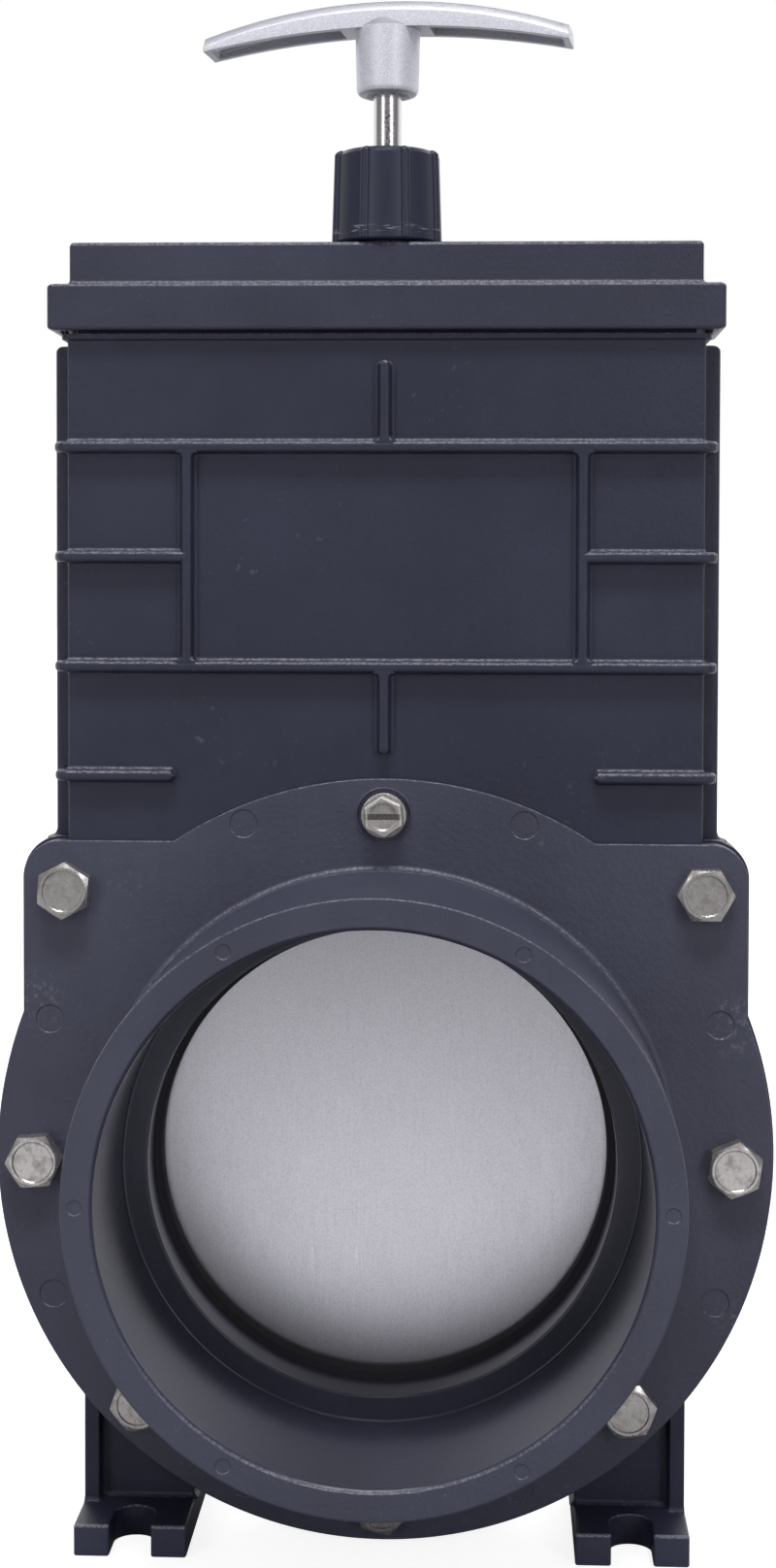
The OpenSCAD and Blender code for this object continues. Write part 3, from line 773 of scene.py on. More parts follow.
def moulded_plastic(name, colour, peel=0.5, socket_r=0.0, spots=()):
    """Dark moulded plastic: fine etched grain, orange-peel skin, flow streaks, rubs and a little dust. Its
    round upper edges and the feet's front top edges get a painted highlight, and the feet's front ends are
    painted paler as painted light. Nearer the bore's axis than socket_r it is smoother and glossier, and
    painted darker as painted shade."""
    made = Shader(name, colour, specular=0.36)
    x = made.axis("X")
    height = made.axis("Z")
    z = height - BORE_Z
    outside = made.smooth(made.far(x, z), socket_r, socket_r + 0.5 * MM, 0.0 if socket_r else 1.0)
    lit_foot_end, foot_highlight, clear = foot_masks(made, height)
    fine = made.noise(3000.0, 3.0, 0.65)
    skin = made.noise(850.0)
    streaks = made.streaks(3.0, 0.6, (700.0, 700.0, 26.0))
    clouds = made.noise(26.0, 4.0, 0.6)
    rubs = rubbed(made, x, z, outside, spots)
    # Painted highlight: round upper edges and the feet's front top edges are painted paler where light
    # would glance off them.
    painted_glint = made.smooth(made.noise(1500.0, 2.0, 0.6), 0.40, 0.62) * edge_facing(made) * outside * clear
    painted_glint = made.math("MAXIMUM", painted_glint, foot_highlight * made.smooth(fine, 0.36, 0.58, 0.0, 2.0))
    made.bump((fine * 0.6 + skin * peel + streaks * 0.05) * (outside * 0.85 + 0.15), 0.17 * MM)
    rough = 0.36 + (clouds - 0.5) * 0.2 + (fine - 0.5) * 0.2
    made.set("Roughness", rough * (outside * 0.4 + 0.6) + rubs * 0.2)
    lighter = tuple(c * 1.3 for c in colour)
    dust_and_light_tone = tuple(c * 2.5 + 0.03 for c in colour)
    dust = made.smooth(made.noise(1300.0, 1.0), 0.72, 0.80)
    tone = made.mix(made.smooth(clouds + (streaks - 0.5) * 0.15, 0.3, 0.75), made.colour, lighter)
    # Real dust all over, and painted light: the feet's front ends are painted paler.
    tone = made.mix(dust * 0.4, made.mix(lit_foot_end * 0.45, tone, dust_and_light_tone), dust_and_light_tone)
    # Painted shade: inside the socket the plastic is painted darker.
    tone = made.mix(outside * 0.35 + 0.65, (0.006, 0.006, 0.010), tone)
    tone = made.mix(rubs * 0.28, tone, (0.20, 0.20, 0.25))
    # The painted highlight is mixed into the colour here.
    made.set("Base Color", made.mix(painted_glint * 0.42, tone, (0.34, 0.34, 0.40)))
    return made.material


def body_plastic(looks):
    """Plastic of the body."""
    return moulded_plastic("body_plastic", looks.body)


def lid_plastic(looks):
    """Plastic of the lid, a little paler than the body's."""
    return moulded_plastic("lid_plastic", looks.lid)


def hub_plastic(looks):
    """Plastic of the hubs, smoother inside their sockets, with scars on the front flange."""
    spots = ((-78 * MM, 35 * MM, 8 * MM), (78 * MM, 30 * MM, 8 * MM), (79 * MM, -36 * MM, 6 * MM))
    socket_r = bpy.context.scene.valve_hubs.socket_r + 0.15 * MM
    return moulded_plastic("hub_plastic", looks.hub, 0.8, socket_r, spots)


def nut_plastic(looks):
    """Plastic of the packing nut, with pale scuffs near its foot where a wrench has slipped."""
    made = Shader("nut_plastic", looks.nut, specular=0.34)
    fine = made.noise(1800.0)
    z = made.axis("Z") - NUT_LOW.z
    band = made.smooth(z, 1.2 * MM, 1.8 * MM) * made.fade(z, 2.6 * MM, 3.6 * MM)
    scuff = made.smooth(made.streaks(3.0, 0.65, (260.0, 260.0, 2600.0)), 0.52, 0.66) * band
    made.bump(fine * 0.4 + scuff, 0.04 * MM)
    made.set("Roughness", 0.42 + (fine - 0.5) * 0.12 + scuff * 0.3)
    made.shade(scuff * 0.55, (0.33, 0.33, 0.40))
    return made.material


def seal_rubber(looks):
    """Glossy black rubber."""
    made = Shader("seal_rubber", looks.rubber, specular=0.34)
    ripple = made.noise(160.0)
    made.bump(ripple, 0.03 * MM)
    made.set("Roughness", 0.10 + ripple * 0.08)
    return made.material


def brushed_steel(looks):
    """The blade's steel, brushed upright with fine speckle."""
    made = Shader("brushed_steel", looks.blade, metallic=1.0)
    lines = made.streaks(4.0, 0.7, (2600.0, 2600.0, 90.0))
    speckle = made.noise(2400.0)
    clouds = made.noise(22.0, 3.0)
    made.bump(lines * 0.5 + speckle * 0.5, 0.02 * MM)
    made.set("Roughness", 0.31 + (lines - 0.5) * 0.14 + (clouds - 0.5) * 0.10)
    made.shade(made.smooth(speckle + (lines - 0.5) * 0.5, 0.35, 0.75, 0.0, 0.30), (0.34, 0.34, 0.38))
    return made.material


def bright_rod(looks):
    """The rod's ground steel, with a narrow mottled stain down its front."""
    made = Shader("bright_rod", looks.rod, metallic=1.0)
    lines = made.streaks(3.0, 0.6, (500.0, 500.0, 2200.0))
    band = made.fade(abs(made.axis("X") - 0.1 * MM), 0.35 * MM, 0.95 * MM)
    front = made.fade(made.axis("Y"), -2.0 * MM, -1.0 * MM)
    low = made.fade(made.axis("Z") - NUT_HIGH.z, 8.0 * MM, 10.5 * MM)
    stain = made.smooth(made.noise(1300.0, 3.0, 0.7), 0.46, 0.56) * band * low * front
    made.bump(lines * 0.6 + made.noise(1900.0) * 0.4, 0.002 * MM)
    made.set("Roughness", 0.28 + (lines - 0.5) * 0.12 + stain * 0.3)
    made.shade(stain * 0.92, (0.03, 0.028, 0.03))
    return made.material


def in_channel(made, s):
    """How far a point lies in the channel under the handle's bar, where the alloy gets painted shade."""
    sockets = {"Vector": made.place, "Rotation": (0.0, 0.0, -s.swing)}
    bar = made.add("ShaderNodeMapping", {}, sockets)
    along = abs(made.part(bar, "X"))
    reach = s.half_y - s.wall
    inside = made.fade(abs(made.part(bar, "Y")), reach + 0.05 * MM, reach + 0.15 * MM)
    inside = inside * made.smooth(along, s.boss_r + 0.2 * MM, s.boss_r + 0.5 * MM)
    return inside * made.fade(along, s.half - 0.9 * MM, s.half - 0.7 * MM)


def cast_alloy(looks):
    """Sparkling cast alloy with a sandy skin, with painted shade on its level faces and in the bar's
    channel.
    """
    made = Shader("cast_alloy", looks.alloy, metallic=0.35)
    sand = made.noise(2900.0, 3.0, 0.7)
    cells = made.add("ShaderNodeTexVoronoi", {}, {"Vector": made.place, "Scale": 5200.0}, output="Color")
    spark = made.add("ShaderNodeSeparateColor", {}, {"Color": cells})
    up = made.facing("Z")
    # Painted shade: faces that point up or down, and the inside of the bar's channel, are painted darker.
    shaded_level_faces = made.fade(up, -0.85, -0.5, 0.75) + made.smooth(up, 0.35, 0.8, 0.0, 0.72)
    inside = in_channel(made, bpy.context.scene.valve_handle) * made.fade(up, 0.2, 0.4, 0.54)
    made.bump(sand, 0.07 * MM)
    made.set("Roughness", 0.45 + (spark - 0.5) * 0.2 + (made.noise(60.0, 3.0) - 0.5) * 0.1)
    tone = made.smooth(sand + (spark - 0.5) * 0.3, 0.3, 0.8)
    lighter = made.mix(tone, made.colour, tuple(c * 1.4 for c in looks.alloy))
    # The painted shade is mixed into the colour here.
    painted_alloy_shade = made.math("MAXIMUM", shaded_level_faces, inside)
    made.set("Base Color", made.mix(painted_alloy_shade, lighter, (0.10, 0.10, 0.12)))
    return made.material


def hex_reach(made, x, z, turned):
    """How far a point lies from a hexagon's middle, square to its nearest flat."""
    reach = 0.0
    for step in range(3):
        angle = turned + step * math.pi / 3
        flat = abs(x * math.cos(angle) + z * math.sin(angle))
        reach = made.math("MAXIMUM", flat, reach)
    return reach


def screw_masks(made, s):
    """How far a point lies on a screw, on the painted highlight along its hexagon's edges, and in the
    painted shade of its slot and round its hexagon's foot."""
    middle_x, middle_z = middle("front_screw")
    x = made.axis("X") - middle_x
    y = made.axis("Y")
    z = made.axis("Z") - middle_z
    radius = made.far(x, z)
    screw = made.fade(radius, s.washer_r + 0.1 * MM, s.washer_r + 0.3 * MM)
    depth = FACE_Y - s.recess + s.washer_h + s.screw_h - abs(y)
    # Painted shade deep in the screw's slot.
    deep = made.smooth(depth, 0.9 * MM, 1.8 * MM) * made.fade(depth, 2.4 * MM, 2.5 * MM)
    slot = made.fade(radius, 4.5 * MM, 4.7 * MM) * made.fade(abs(z), 0.8 * MM, 1.0 * MM, 0.75)
    seen_x = x * made.math("SIGN", y) * -1.0
    past = hex_reach(made, seen_x, z, s.screw_turn) - s.screw_flats / 2
    # Painted highlight along the hexagon's top edges, and painted shade round its foot.
    edge_highlight = made.smooth(past, -0.55 * MM, -0.35 * MM) * made.fade(past, 0.0, 0.05 * MM)
    foot = made.smooth(past, 0.0, 0.05 * MM) * made.fade(past, 0.2 * MM, 0.5 * MM)
    return screw, edge_highlight * screw, made.math("MAXIMUM", deep * slot, foot * screw * 0.8)


def stainless(looks):
    """Stainless steel of the bolts: brushed, a little pitted, with faint stains. The screws are duller,
    with a painted highlight along their hexagons' edges and painted shade in their slots and round their
    hexagons' feet."""
    made = Shader("stainless", looks.bolt)
    scratches = made.streaks(4.0, 0.7, (1500.0, 500.0, 420.0), 0.5)
    stain = made.smooth(made.noise(520.0, 4.0, 0.65), 0.42, 0.72)
    screw, edge_highlight, painted_screw_shade = screw_masks(made, bpy.context.scene.valve_hardware)
    made.bump(scratches * 0.4 + made.noise(1400.0, 3.0, 0.6) * 0.6, 0.03 * MM)
    made.set("Roughness", 0.26 + (scratches - 0.5) * 0.2 + stain * 0.10)
    # Real stains, and painted shade in the screw's slot and round its hexagon's foot.
    stained_and_shaded = made.mix(made.math("MAXIMUM", stain * 0.55, painted_screw_shade), made.colour, (0.16, 0.145, 0.13))
    # Painted highlight along the screw hexagon's edges.
    made.set("Base Color", made.mix(edge_highlight * 0.8, stained_and_shaded, (0.95, 0.92, 0.88)))
    made.set("Metallic", 0.82 - screw * 0.32)
    return made.material


def packing_cord(looks):
    """Pale packing round the rod, in fine turns."""
    made = Shader("packing_cord", looks.packing, 0.8)
    turns = made.streaks(2.0, 0.5, (300.0, 300.0, 1600.0))
    made.bump(turns, 0.1 * MM)
    made.shade(turns * 0.4, (0.40, 0.38, 0.30))
    return made.material


def pale_floor(looks):
    """Pale floor that glows. Its glow lights the valve from behind, a patch near its front glows only in
    gloss as a painted reflection in the blade, to the camera it looks paler behind the valve than in front,
    and to bounced light it is darker, so less light reaches the valve's underside, as painted shade."""
    made = Shader("pale_floor", looks.floor)
    made.set("Roughness", 0.65 + made.noise(8.0) * 0.1)
    y = made.axis("Y")
    # Painted light: the floor behind the valve glows and lights it.
    shine = made.smooth(y, 0.02, 0.25, 0.0, 0.8)
    # To the camera the floor looks pale, paler behind the valve than in front.
    shown = made.smooth(y, -0.50, -0.04, 0.55, 0.85)
    # Painted reflection: a patch in front glows only to glossy rays, to brighten the blade.
    near = made.smooth(y, -0.60, -0.34) * made.fade(y, -0.22, -0.08, 0.62)
    seen = made.ray("Camera")
    glow = shine + (shown - shine) * seen + near * made.ray("Glossy")
    made.set("Emission Color", made.mix(glow, (0.0, 0.0, 0.0), (1.0, 1.0, 1.0)))
    made.set("Emission Strength", 1.0)
    # Painted shade: to bounced light the floor is darker, so less light reaches the valve's underside.
    made.shade(0.5 - seen * 0.5, (0.10, 0.10, 0.10))
    return made.material


FINISHES = (
    body_plastic, lid_plastic, hub_plastic, nut_plastic, seal_rubber,
    brushed_steel, bright_rod, cast_alloy, stainless, packing_cord, pale_floor,
)


def material(name):
    """One of the finishes, made when it is first asked for."""
    makers = {maker.__name__: maker for maker in FINISHES}
    return bpy.data.materials.get(name) or makers[name](bpy.context.scene.valve_finishes)


# Hubs and body


def flange_outline(s, grow=0.0):
    """The flange's outline about the bore, moved outwards: a disc, two round-cornered ears, a top arc."""
    r = s.flange_r + grow
    top = s.top_r + grow
    x = s.ear_x + grow
    z = s.ear_rise + grow
    join = math.degrees(math.acos(x / r))
    shoulder = math.degrees(math.asin(z / top))
    corner = (s.ear_x - s.ear_r, s.ear_rise - s.ear_r)
    points = arc((0, 0), r, -90, join, 72)
    points += between(points[-1], (x, corner[1]), 12)
    points += arc(corner, s.ear_r + grow, 0, 90, 14)
    points += between(points[-1], (top * math.cos(math.radians(shoulder)), z), 10)
    points += arc((0, 0), top, shoulder, 90, 24)
    return points + [(-x, z) for x, z in reversed(points[1:-1])]


def hub_rings(s, side):
    """The rings of one hub, round its wall from the bore's back edge. side is -1 for the front hub."""
    rim = [(-0.1 * MM, s.plate_y), (0.0, s.plate_y + 0.1 * MM)]
    rim += arc((-s.arris, s.face_y - s.arris), s.arris, 0, 90, 4)
    root_r = s.hub_r + 0.3 * MM
    root_y = s.face_y + 2.6 * MM
    wall = arc((root_r + s.fillet, s.face_y + s.fillet), s.fillet, 270, 180, 6)
    wall += [(root_r, root_y), (root_r - 0.08 * MM, root_y + 0.2 * MM), (s.hub_r, root_y + 0.6 * MM)]
    edge = 0.5 * MM
    wall += arc((s.hub_r - edge, s.rim_y - edge), edge, 0, 90, 4)
    lip = 0.2 * MM
    wall += arc((s.socket_r + s.mouth + lip, s.rim_y - lip), lip, 90, 150, 3)
    wall += [(s.socket_r + 0.03 * MM, s.rim_y - s.mouth), (s.socket_r, s.rim_y - 1.4 * s.mouth)]
    wall += arc((s.socket_r - edge, s.stop_y + edge), edge, 0, -90, 4)
    wall += arc((s.bore_r + edge, s.stop_y - edge), edge, 90, 180, 4)
    wall += [(s.bore_r, s.plate_y)]
    outline = flange_outline(s)
    rings = [upright(flange_outline(s, grow), side * y) for grow, y in rim]
    return rings + [upright(circle_like(outline, r), side * y) for r, y in wall]


def mark(radius, side, y, centre):
    """A tool for a mould pin's round mark, sunk a hair into a face, about a centre from the bore's axis."""
    profile = [(radius, y + 0.5 * MM), (radius, y), (radius - 0.2 * MM, y - 0.18 * MM)]
    return spun([(r, side * d) for r, d in profile], centre, 40)


def pin_marks(s, side):
    """The marks on a flange's face: four pairs, at places balanced about the upright axis."""
    out = s.flange_r - 6.0 * MM
    marks = []
    for angle in (67.2, 22.0, -23.3, -67.6):
        x = out * math.cos(math.radians(angle))
        z = out * math.sin(math.radians(angle))
        marks += [mark(s.mark_r, side, s.face_y, (way * x, z)) for way in (1, -1)]
    return marks


def rim_marks(s, side):
    """The ring of small marks that is cut from a rim."""
    radius = (s.hub_r + s.socket_r) / 2 + 0.3 * MM
    tool = solid("rim_marks", mark(s.rim_mark_r, side, s.rim_y, (radius, -BORE_Z)))
    ring_of(tool, "hub_plastic", s.rim_marks, (0.0, 1.0, 0.0), (0.0, 0.0, BORE_Z))
    return tool


class BuildHubs(bpy.types.Operator):
    """Build the front and rear hubs, each with its flange, socket, pipe stop and mould marks"""

    bl_idname = "gate_valve.hubs"
    bl_label = "Hubs"

    def execute(self, context):
        s = context.scene.valve_hubs
        hardware = context.scene.valve_hardware
        screw = (0.0, middle("front_screw")[1] - BORE_Z)
        recess_r = hardware.washer_r + 0.9 * MM
        lip = hardware.recess_lip
        for side, where in SIDES:
            face = side * s.face_y
            recess = [(recess_r, face - side * hardware.recess), (recess_r, face + side * MM)]
            edge = [(recess_r + lip + out, face + rise) for out, rise in circle(lip, 8)]
            made = solid(f"{where}_hub_piece", loft(hub_rings(s, side), joined=True))
            combine(made, solid("face_marks", *pin_marks(s, side), spun(recess, screw, 40)))
            combine(made, rim_marks(s, side))
            combine(made, solid("recess_lip", spun(edge, screw, 48, joined=True)), "UNION")
            finish(made, "hub_plastic", "valve", [f"{where}_hub"])
        return {"FINISHED"}


class BuildPlate(bpy.types.Operator):
    """Build the body's plate between the two flanges, with the throat that the blade rises through"""

    bl_idname = "gate_valve.plate"
    bl_label = "Body plate"

    def execute(self, context):
        s = context.scene.valve_hubs
        b = context.scene.valve_body
        gate = context.scene.valve_gate
        edge = 0.3 * MM
        rim = mirrored(arc((b.plate_margin - edge, s.plate_y - edge), edge, 90, 0, 4))
        rings = [upright(flange_outline(s, grow), y) for grow, y in rim]
        hole = circle_like(flange_outline(s), gate.seal_out + 0.2 * MM)
        rings += [upright(hole, -s.plate_y), upright(hole, s.plate_y)]
        made = solid("body_plate", loft(rings, joined=True))
        throat = round_box(gate.blade_r + b.throat_gap, b.throat_y, 0.5 * MM, 3)
        above = BORE_Z + s.top_r + 5.0 * MM
        combine(made, solid("throat", loft([level(throat, BORE_Z), level(throat, above)], capped=True)))
        finish_body(made)
        return {"FINISHED"}


def housing_rings(b, foot, top):
    """The rings of the housing's wall: up its outside, over the lip and the tongue inside the lid, and
    down its inside."""
    fillet = 1.0 * MM
    edge = 0.3 * MM
    shelf = top - 1.05 * MM
    tongue_out = -1.9 * MM
    tongue_z = top + 2.5 * MM
    steps = [(0.0, foot)] + arc((fillet, top - 3.25 * MM), fillet, 180, 90, 6)
    steps += arc((b.lip - edge, top - 2.0 * MM), edge, -60, 0, 3)
    steps += arc((b.lip - edge, shelf - edge), edge, 0, 90, 3)
    steps += [(tongue_out, shelf), (tongue_out, tongue_z), (-b.wall, tongue_z), (-b.wall, foot)]
    rings = []
    for out, z in steps:
        outline = round_box(b.housing_x + out, b.housing_y + out, b.housing_r + max(out, 0))
        rings.append(level(outline, z))
    return rings


class BuildHousing(bpy.types.Operator):
    """Build the tall hollow housing, with the lip that carries the lid and the fins at its sides"""

    bl_idname = "gate_valve.housing"
    bl_label = "Housing"

    def execute(self, context):
        b = context.scene.valve_body
        s = context.scene.valve_hubs
        top = context.scene.valve_lid.low_z
        foot = BORE_Z + s.hub_r - 2.0 * MM
        finish_body(solid("housing", loft(housing_rings(b, foot, top), joined=True)))
        fin_top = top - 3.1 * MM
        fins = solid("side_fins", fin(b, BORE_Z + s.ear_rise, fin_top))
        ring_of(fins, "body_plastic", 2)
        finish_body(fins)
        return {"FINISHED"}


def rib_section(width, height, edge, fillet):
    """Half-round-edged section of a rib: (across, out) points, from one buried foot to the other."""
    half = width / 2
    draft = height * math.tan(math.radians(1.5))
    side = [(half + fillet, -0.4 * MM)] + arc((half + fillet, fillet), fillet, 270, 180, 5)
    side += arc((half - draft - edge, height - edge), edge, 0, 90, 5)
    return side + [(-across, out) for across, out in reversed(side)]


def fillet_reach(gone, radius):
    """How far a fillet of a radius still reaches at a distance from its foot."""
    gone = min(max(gone, 0.0), radius)
    return radius - math.sqrt(radius**2 - (radius - gone) ** 2)


def rib_along(b, path, section, ends=(0.0, 0.0), flares=(0.0, 0.0), closed=False):
    """A rib along a path of (point, outward, across) vectors. A nose makes an open end round in plan,
    and a flare widens an end that runs into another rib."""
    lengths = [0.0]
    for (a, _, _), (c, _, _) in zip(path, path[1:]):
        lengths.append(lengths[-1] + (Vector(c) - Vector(a)).length)
    rings = []
    for (point, outward, across), at in zip(path, lengths):
        share = 1.0
        wider = 0.0
        for nose, spread, gone in zip(ends, flares, (at, lengths[-1] - at)):
            if nose and gone < nose:
                share = min(share, math.sqrt(max(0.0, 1 - (1 - gone / nose) ** 2)))
            wider = max(wider, fillet_reach(gone - b.rib_w / 2, spread))
        ring = []
        for v, d in section:
            height = d if d <= 0 else d * (0.8 + 0.2 * share)
            side = v * max(share, 0.05) + math.copysign(wider, v)
            ring.append(tuple(Vector(point) + Vector(across) * side + Vector(outward) * height))
        rings.append(ring)
    return loft(rings, joined=closed, capped=not closed)


def fin(b, low, top):
    """The right-hand side fin: its top corner is round, and it spreads in a fillet onto the ear."""
    section = rib_section(b.fin_t, b.fin_w, b.fin_edge, 0.4 * MM)
    bend = top - b.fin_edge
    heights = [low - 3.0 * MM, low] + [low + b.fin_fillet * i / 8 for i in range(1, 9)] + [bend]
    heights += [bend + b.fin_edge * math.sin(math.radians(a)) for a in range(10, 91, 10)]
    rings = []
    for z in heights:
        grow = fillet_reach(z - low, b.fin_fillet)
        if z > bend:
            grow = math.sqrt(max(b.fin_edge**2 - (z - bend) ** 2, 0.0)) - b.fin_edge
        wide = (b.fin_w + grow) / b.fin_w
        rings.append([(b.housing_x + d * (wide if d > 0 else 1.0), v, z) for v, d in section])
    return loft(rings, capped=True)


def hoop_path(b, z, x0=None):
    """The way round the housing at a height, or from x0 on the front round the right to the rear."""
    outline = round_box(b.housing_x, b.housing_y, b.housing_r, 8)
    if x0 is not None:
        count = len(outline) // 4
        near = [x0 + b.rib_w / 2 * share for share in (0, 2 / 3, 1)]
        outline = [(x, -b.housing_y) for x in near] + outline[3 * count:] + outline[:count]
        outline += [(x, b.housing_y) for x in reversed(near)]
    path = []
    for x, y in outline:
        inner_x = max(-b.housing_x + b.housing_r, min(b.housing_x - b.housing_r, x))
        inner_y = max(-b.housing_y + b.housing_r, min(b.housing_y - b.housing_r, y))
        outward = Vector((x - inner_x, y - inner_y, 0.0)).normalized()
        path.append(((x, y, z), outward, (0.0, 0.0, 1.0)))
    return path


def upright_path(b, x, z0, z1):
    """A straight way up the front panel, closer together at its ends."""
    steps = [0.0, 0.1, 0.2, 0.4, 0.7, 1.0, 1.3, 1.45, 1.65, 1.9, 2.2, 2.5, 2.8]
    marks = [m * MM for m in steps] + [z1 - z0 - m * MM for m in reversed(steps)]
    return [((x, -b.housing_y, z0 + m), (0.0, -1.0, 0.0), (1.0, 0.0, 0.0)) for m in marks]


class BuildRibs(bpy.types.Operator):
    """Build the level ribs that wrap round the housing and the upright ribs on its panels"""

    bl_idname = "gate_valve.ribs"
    bl_label = "Ribs"

    def execute(self, context):
        b = context.scene.valve_body
        top = context.scene.valve_lid.low_z
        section = rib_section(b.rib_w, b.rib_h, b.rib_edge, b.rib_fillet)
        rows = [top - b.rib_drop - i * b.rib_pitch for i in range(4)]
        nose = b.rib_w / 2
        hoops = solid("level_ribs", rib_along(b, hoop_path(b, rows[0]), section, closed=True))
        row_tree().run(hoops, "body_plastic", {"Count": 2, "Step": (0.0, 0.0, -2 * b.rib_pitch)})
        upper = rib_along(b, hoop_path(b, rows[1], b.upright_x), section)
        lower_path = hoop_path(b, rows[3], b.upright_x + b.rib_w)
        sides = solid("side_ribs", upper, rib_along(b, lower_path, section, (nose, nose)))
        ring_of(sides, "body_plastic", 2)
        section = rib_section(b.rib_w, b.rib_h - 0.06 * MM, b.rib_edge, b.rib_fillet)
        join = 1.4 * MM
        high = top - 7.0 * MM
        low = rows[3] + 4.9 * MM
        ways = [(x, rows[2], rows[0], (0.0, 0.0), (join, join)) for x in (b.upright_x, -b.upright_x)]
        ways += [(0.0, rows[0], high, (0.0, nose), (join, 0.0))]
        ways += [(0.0, low, rows[2], (nose, 0.0), (0.0, join))]
        parts = [rib_along(b, upright_path(b, x, z0, z1), section, *rest) for x, z0, z1, *rest in ways]
        uprights = solid("upright_ribs", *parts)
        ring_of(uprights, "body_plastic", 2)
        for made in (hoops, sides, uprights):
            finish_body(made)
        return {"FINISHED"}


def foot_outline(b):
    """A foot's outline in plan, with an open round-ended slot at each end."""
    inner = b.foot_x - b.foot_w
    centre = b.foot_x - b.foot_w / 2
    end = b.foot_d / 2
    r = b.slot_w / 2
    corner = 0.6 * MM
    half = arc((b.foot_x - corner, end - corner), corner, 0, 90, 4)
    half += arc((centre + r + corner, end - corner), corner, 90, 180, 4)
    half += arc((centre, end - b.slot_l + r), r, 0, -180, 20)
    half += arc((centre - r - corner, end - corner), corner, 0, 90, 4)
    half += arc((inner + corner, end - corner), corner, 90, 180, 4)
    return mirrored(half)


def web_outline(b, depth):
    """The outline in plan of a foot's web with its wider outer rib."""
    inner = b.foot_x - b.foot_w + 0.4 * MM
    outer = b.foot_x - 0.1 * MM
    web = b.web / 2
    fillet = 1.2 * MM
    edge = 0.4 * MM
    rib = outer - b.outer_rib
    half = arc((outer - edge, depth - edge), edge, 0, 90, 3)
    half += arc((rib + edge, depth - edge), edge, 90, 180, 3)
    half += arc((rib - fillet, web + fillet), fillet, 0, -90, 5)
    half += arc((inner + edge, web - edge), edge, 90, 180, 3)
    return mirrored(half)


class BuildFeet(bpy.types.Operator):
    """Build the two slotted feet, each with the web and the outer rib that carry it"""

    bl_idname = "gate_valve.feet"
    bl_label = "Feet"

    def execute(self, context):
        b = context.scene.valve_body
        s = context.scene.valve_hubs
        outline = foot_outline(b)
        edge = 0.45 * MM
        steps = [(-0.25 * MM, 0.0), (0.0, 0.25 * MM)]
        steps += arc((-edge, b.foot_t - edge), edge, 0, 90, 4)
        plate = loft([level(grown(outline, out), z) for out, z in steps], capped=True)
        post = web_outline(b, s.plate_y - 0.05 * MM)
        fillet = 1.1 * MM
        side = b.foot_x - 0.06 * MM
        web_top = BORE_Z - 50.0 * MM
        spread = [(fillet, b.foot_t - 0.3 * MM)] + arc((fillet, b.foot_t + fillet), fillet, 270, 180, 6)
        spread += [(0.0, web_top)]
        rings = [level([(min(x, side), y) for x, y in grown(post, out)], z) for out, z in spread]
        feet = solid("feet", plate, loft(rings, capped=True))
        ring_of(feet, "body_plastic", 2)
        finish_body(feet)
        return {"FINISHED"}


# Lid, packing nut and gate


def long_ring(half_x, half_y, radius):
    """A long round-cornered outline whose points are spread evenly by direction along its long sides."""
    corner = arc((half_x - radius, half_y - radius), radius, 0, 90, 6)
    first = math.degrees(math.atan2(half_y, half_x - radius)) + 3
    angles = [math.radians(first + (180 - 2 * first) * i / 22) for i in range(23)]
    points = [(half_x, 0.0)] + corner + [(half_y / math.tan(a), half_y) for a in angles]
    points += [(-x, y) for x, y in reversed(corner)] + [(-half_x, 0.0)]
    return points + [(-x, -y) for x, y in points[1:-1]]


def quarter(place, reach, over):
    """Steps of (x, y, z) along a quarter curve that reaches from a place along each axis. It leaves
    upright and ends level if over is true, and else leaves level and ends upright."""
    steps = []
    for a in range(0, 91, 15):
        shares = 1 - math.sin(math.radians(a)), 1 - math.cos(math.radians(a))
        rise, out = shares if over else reversed(shares)
        steps.append(tuple(p + d * share for p, d, share in zip(place, reach, (out, out, rise))))
    return steps


def lid_rings(s):
    """The rings of the lid: up its two tiers, up the neck and down through the rod's hole."""
    step_z = s.low_z + s.low_h
    top_z = step_z + s.top_h
    under = s.low_z - 0.35 * MM
    roof = under + 0.9 * MM
    edge = 1.1 * MM
    steps = [(6.0 * MM, 2.6 * MM, roof), (1.6 * MM, 0.9 * MM, under)]
    steps += quarter((0.0, 0.0, under), (1.3 * MM, 0.8 * MM, 0.9 * MM), False)
    steps += quarter((0.0, 0.0, step_z), (1.0 * MM, 0.7 * MM, -0.9 * MM), True)
    steps += quarter((s.step_x, s.step_y, step_z), (-1.0 * MM, -0.8 * MM, 1.0 * MM), False)
    steps += quarter((s.step_x, s.step_y, top_z), (edge, edge, -edge), True)
    rings = []
    for dx, dy, z in steps:
        corner = max(s.corner - 0.5 * dy, 0.3 * MM)
        rings.append(level(long_ring(s.half_x - dx, s.half_y - dy, corner), z))
    neck_z = LID_HIGH.z
    necks = [(s.neck_r + 0.5 * MM, top_z), (s.neck_r, top_z + 0.5 * MM), (s.neck_r, neck_z - 0.3 * MM)]
    necks += [(s.neck_r - 0.3 * MM, neck_z), (s.hole_r, neck_z), (s.hole_r, roof)]
    round_like = long_ring(s.half_x, s.half_y, s.corner)
    return rings + [level(circle_like(round_like, r), z) for r, z in necks]


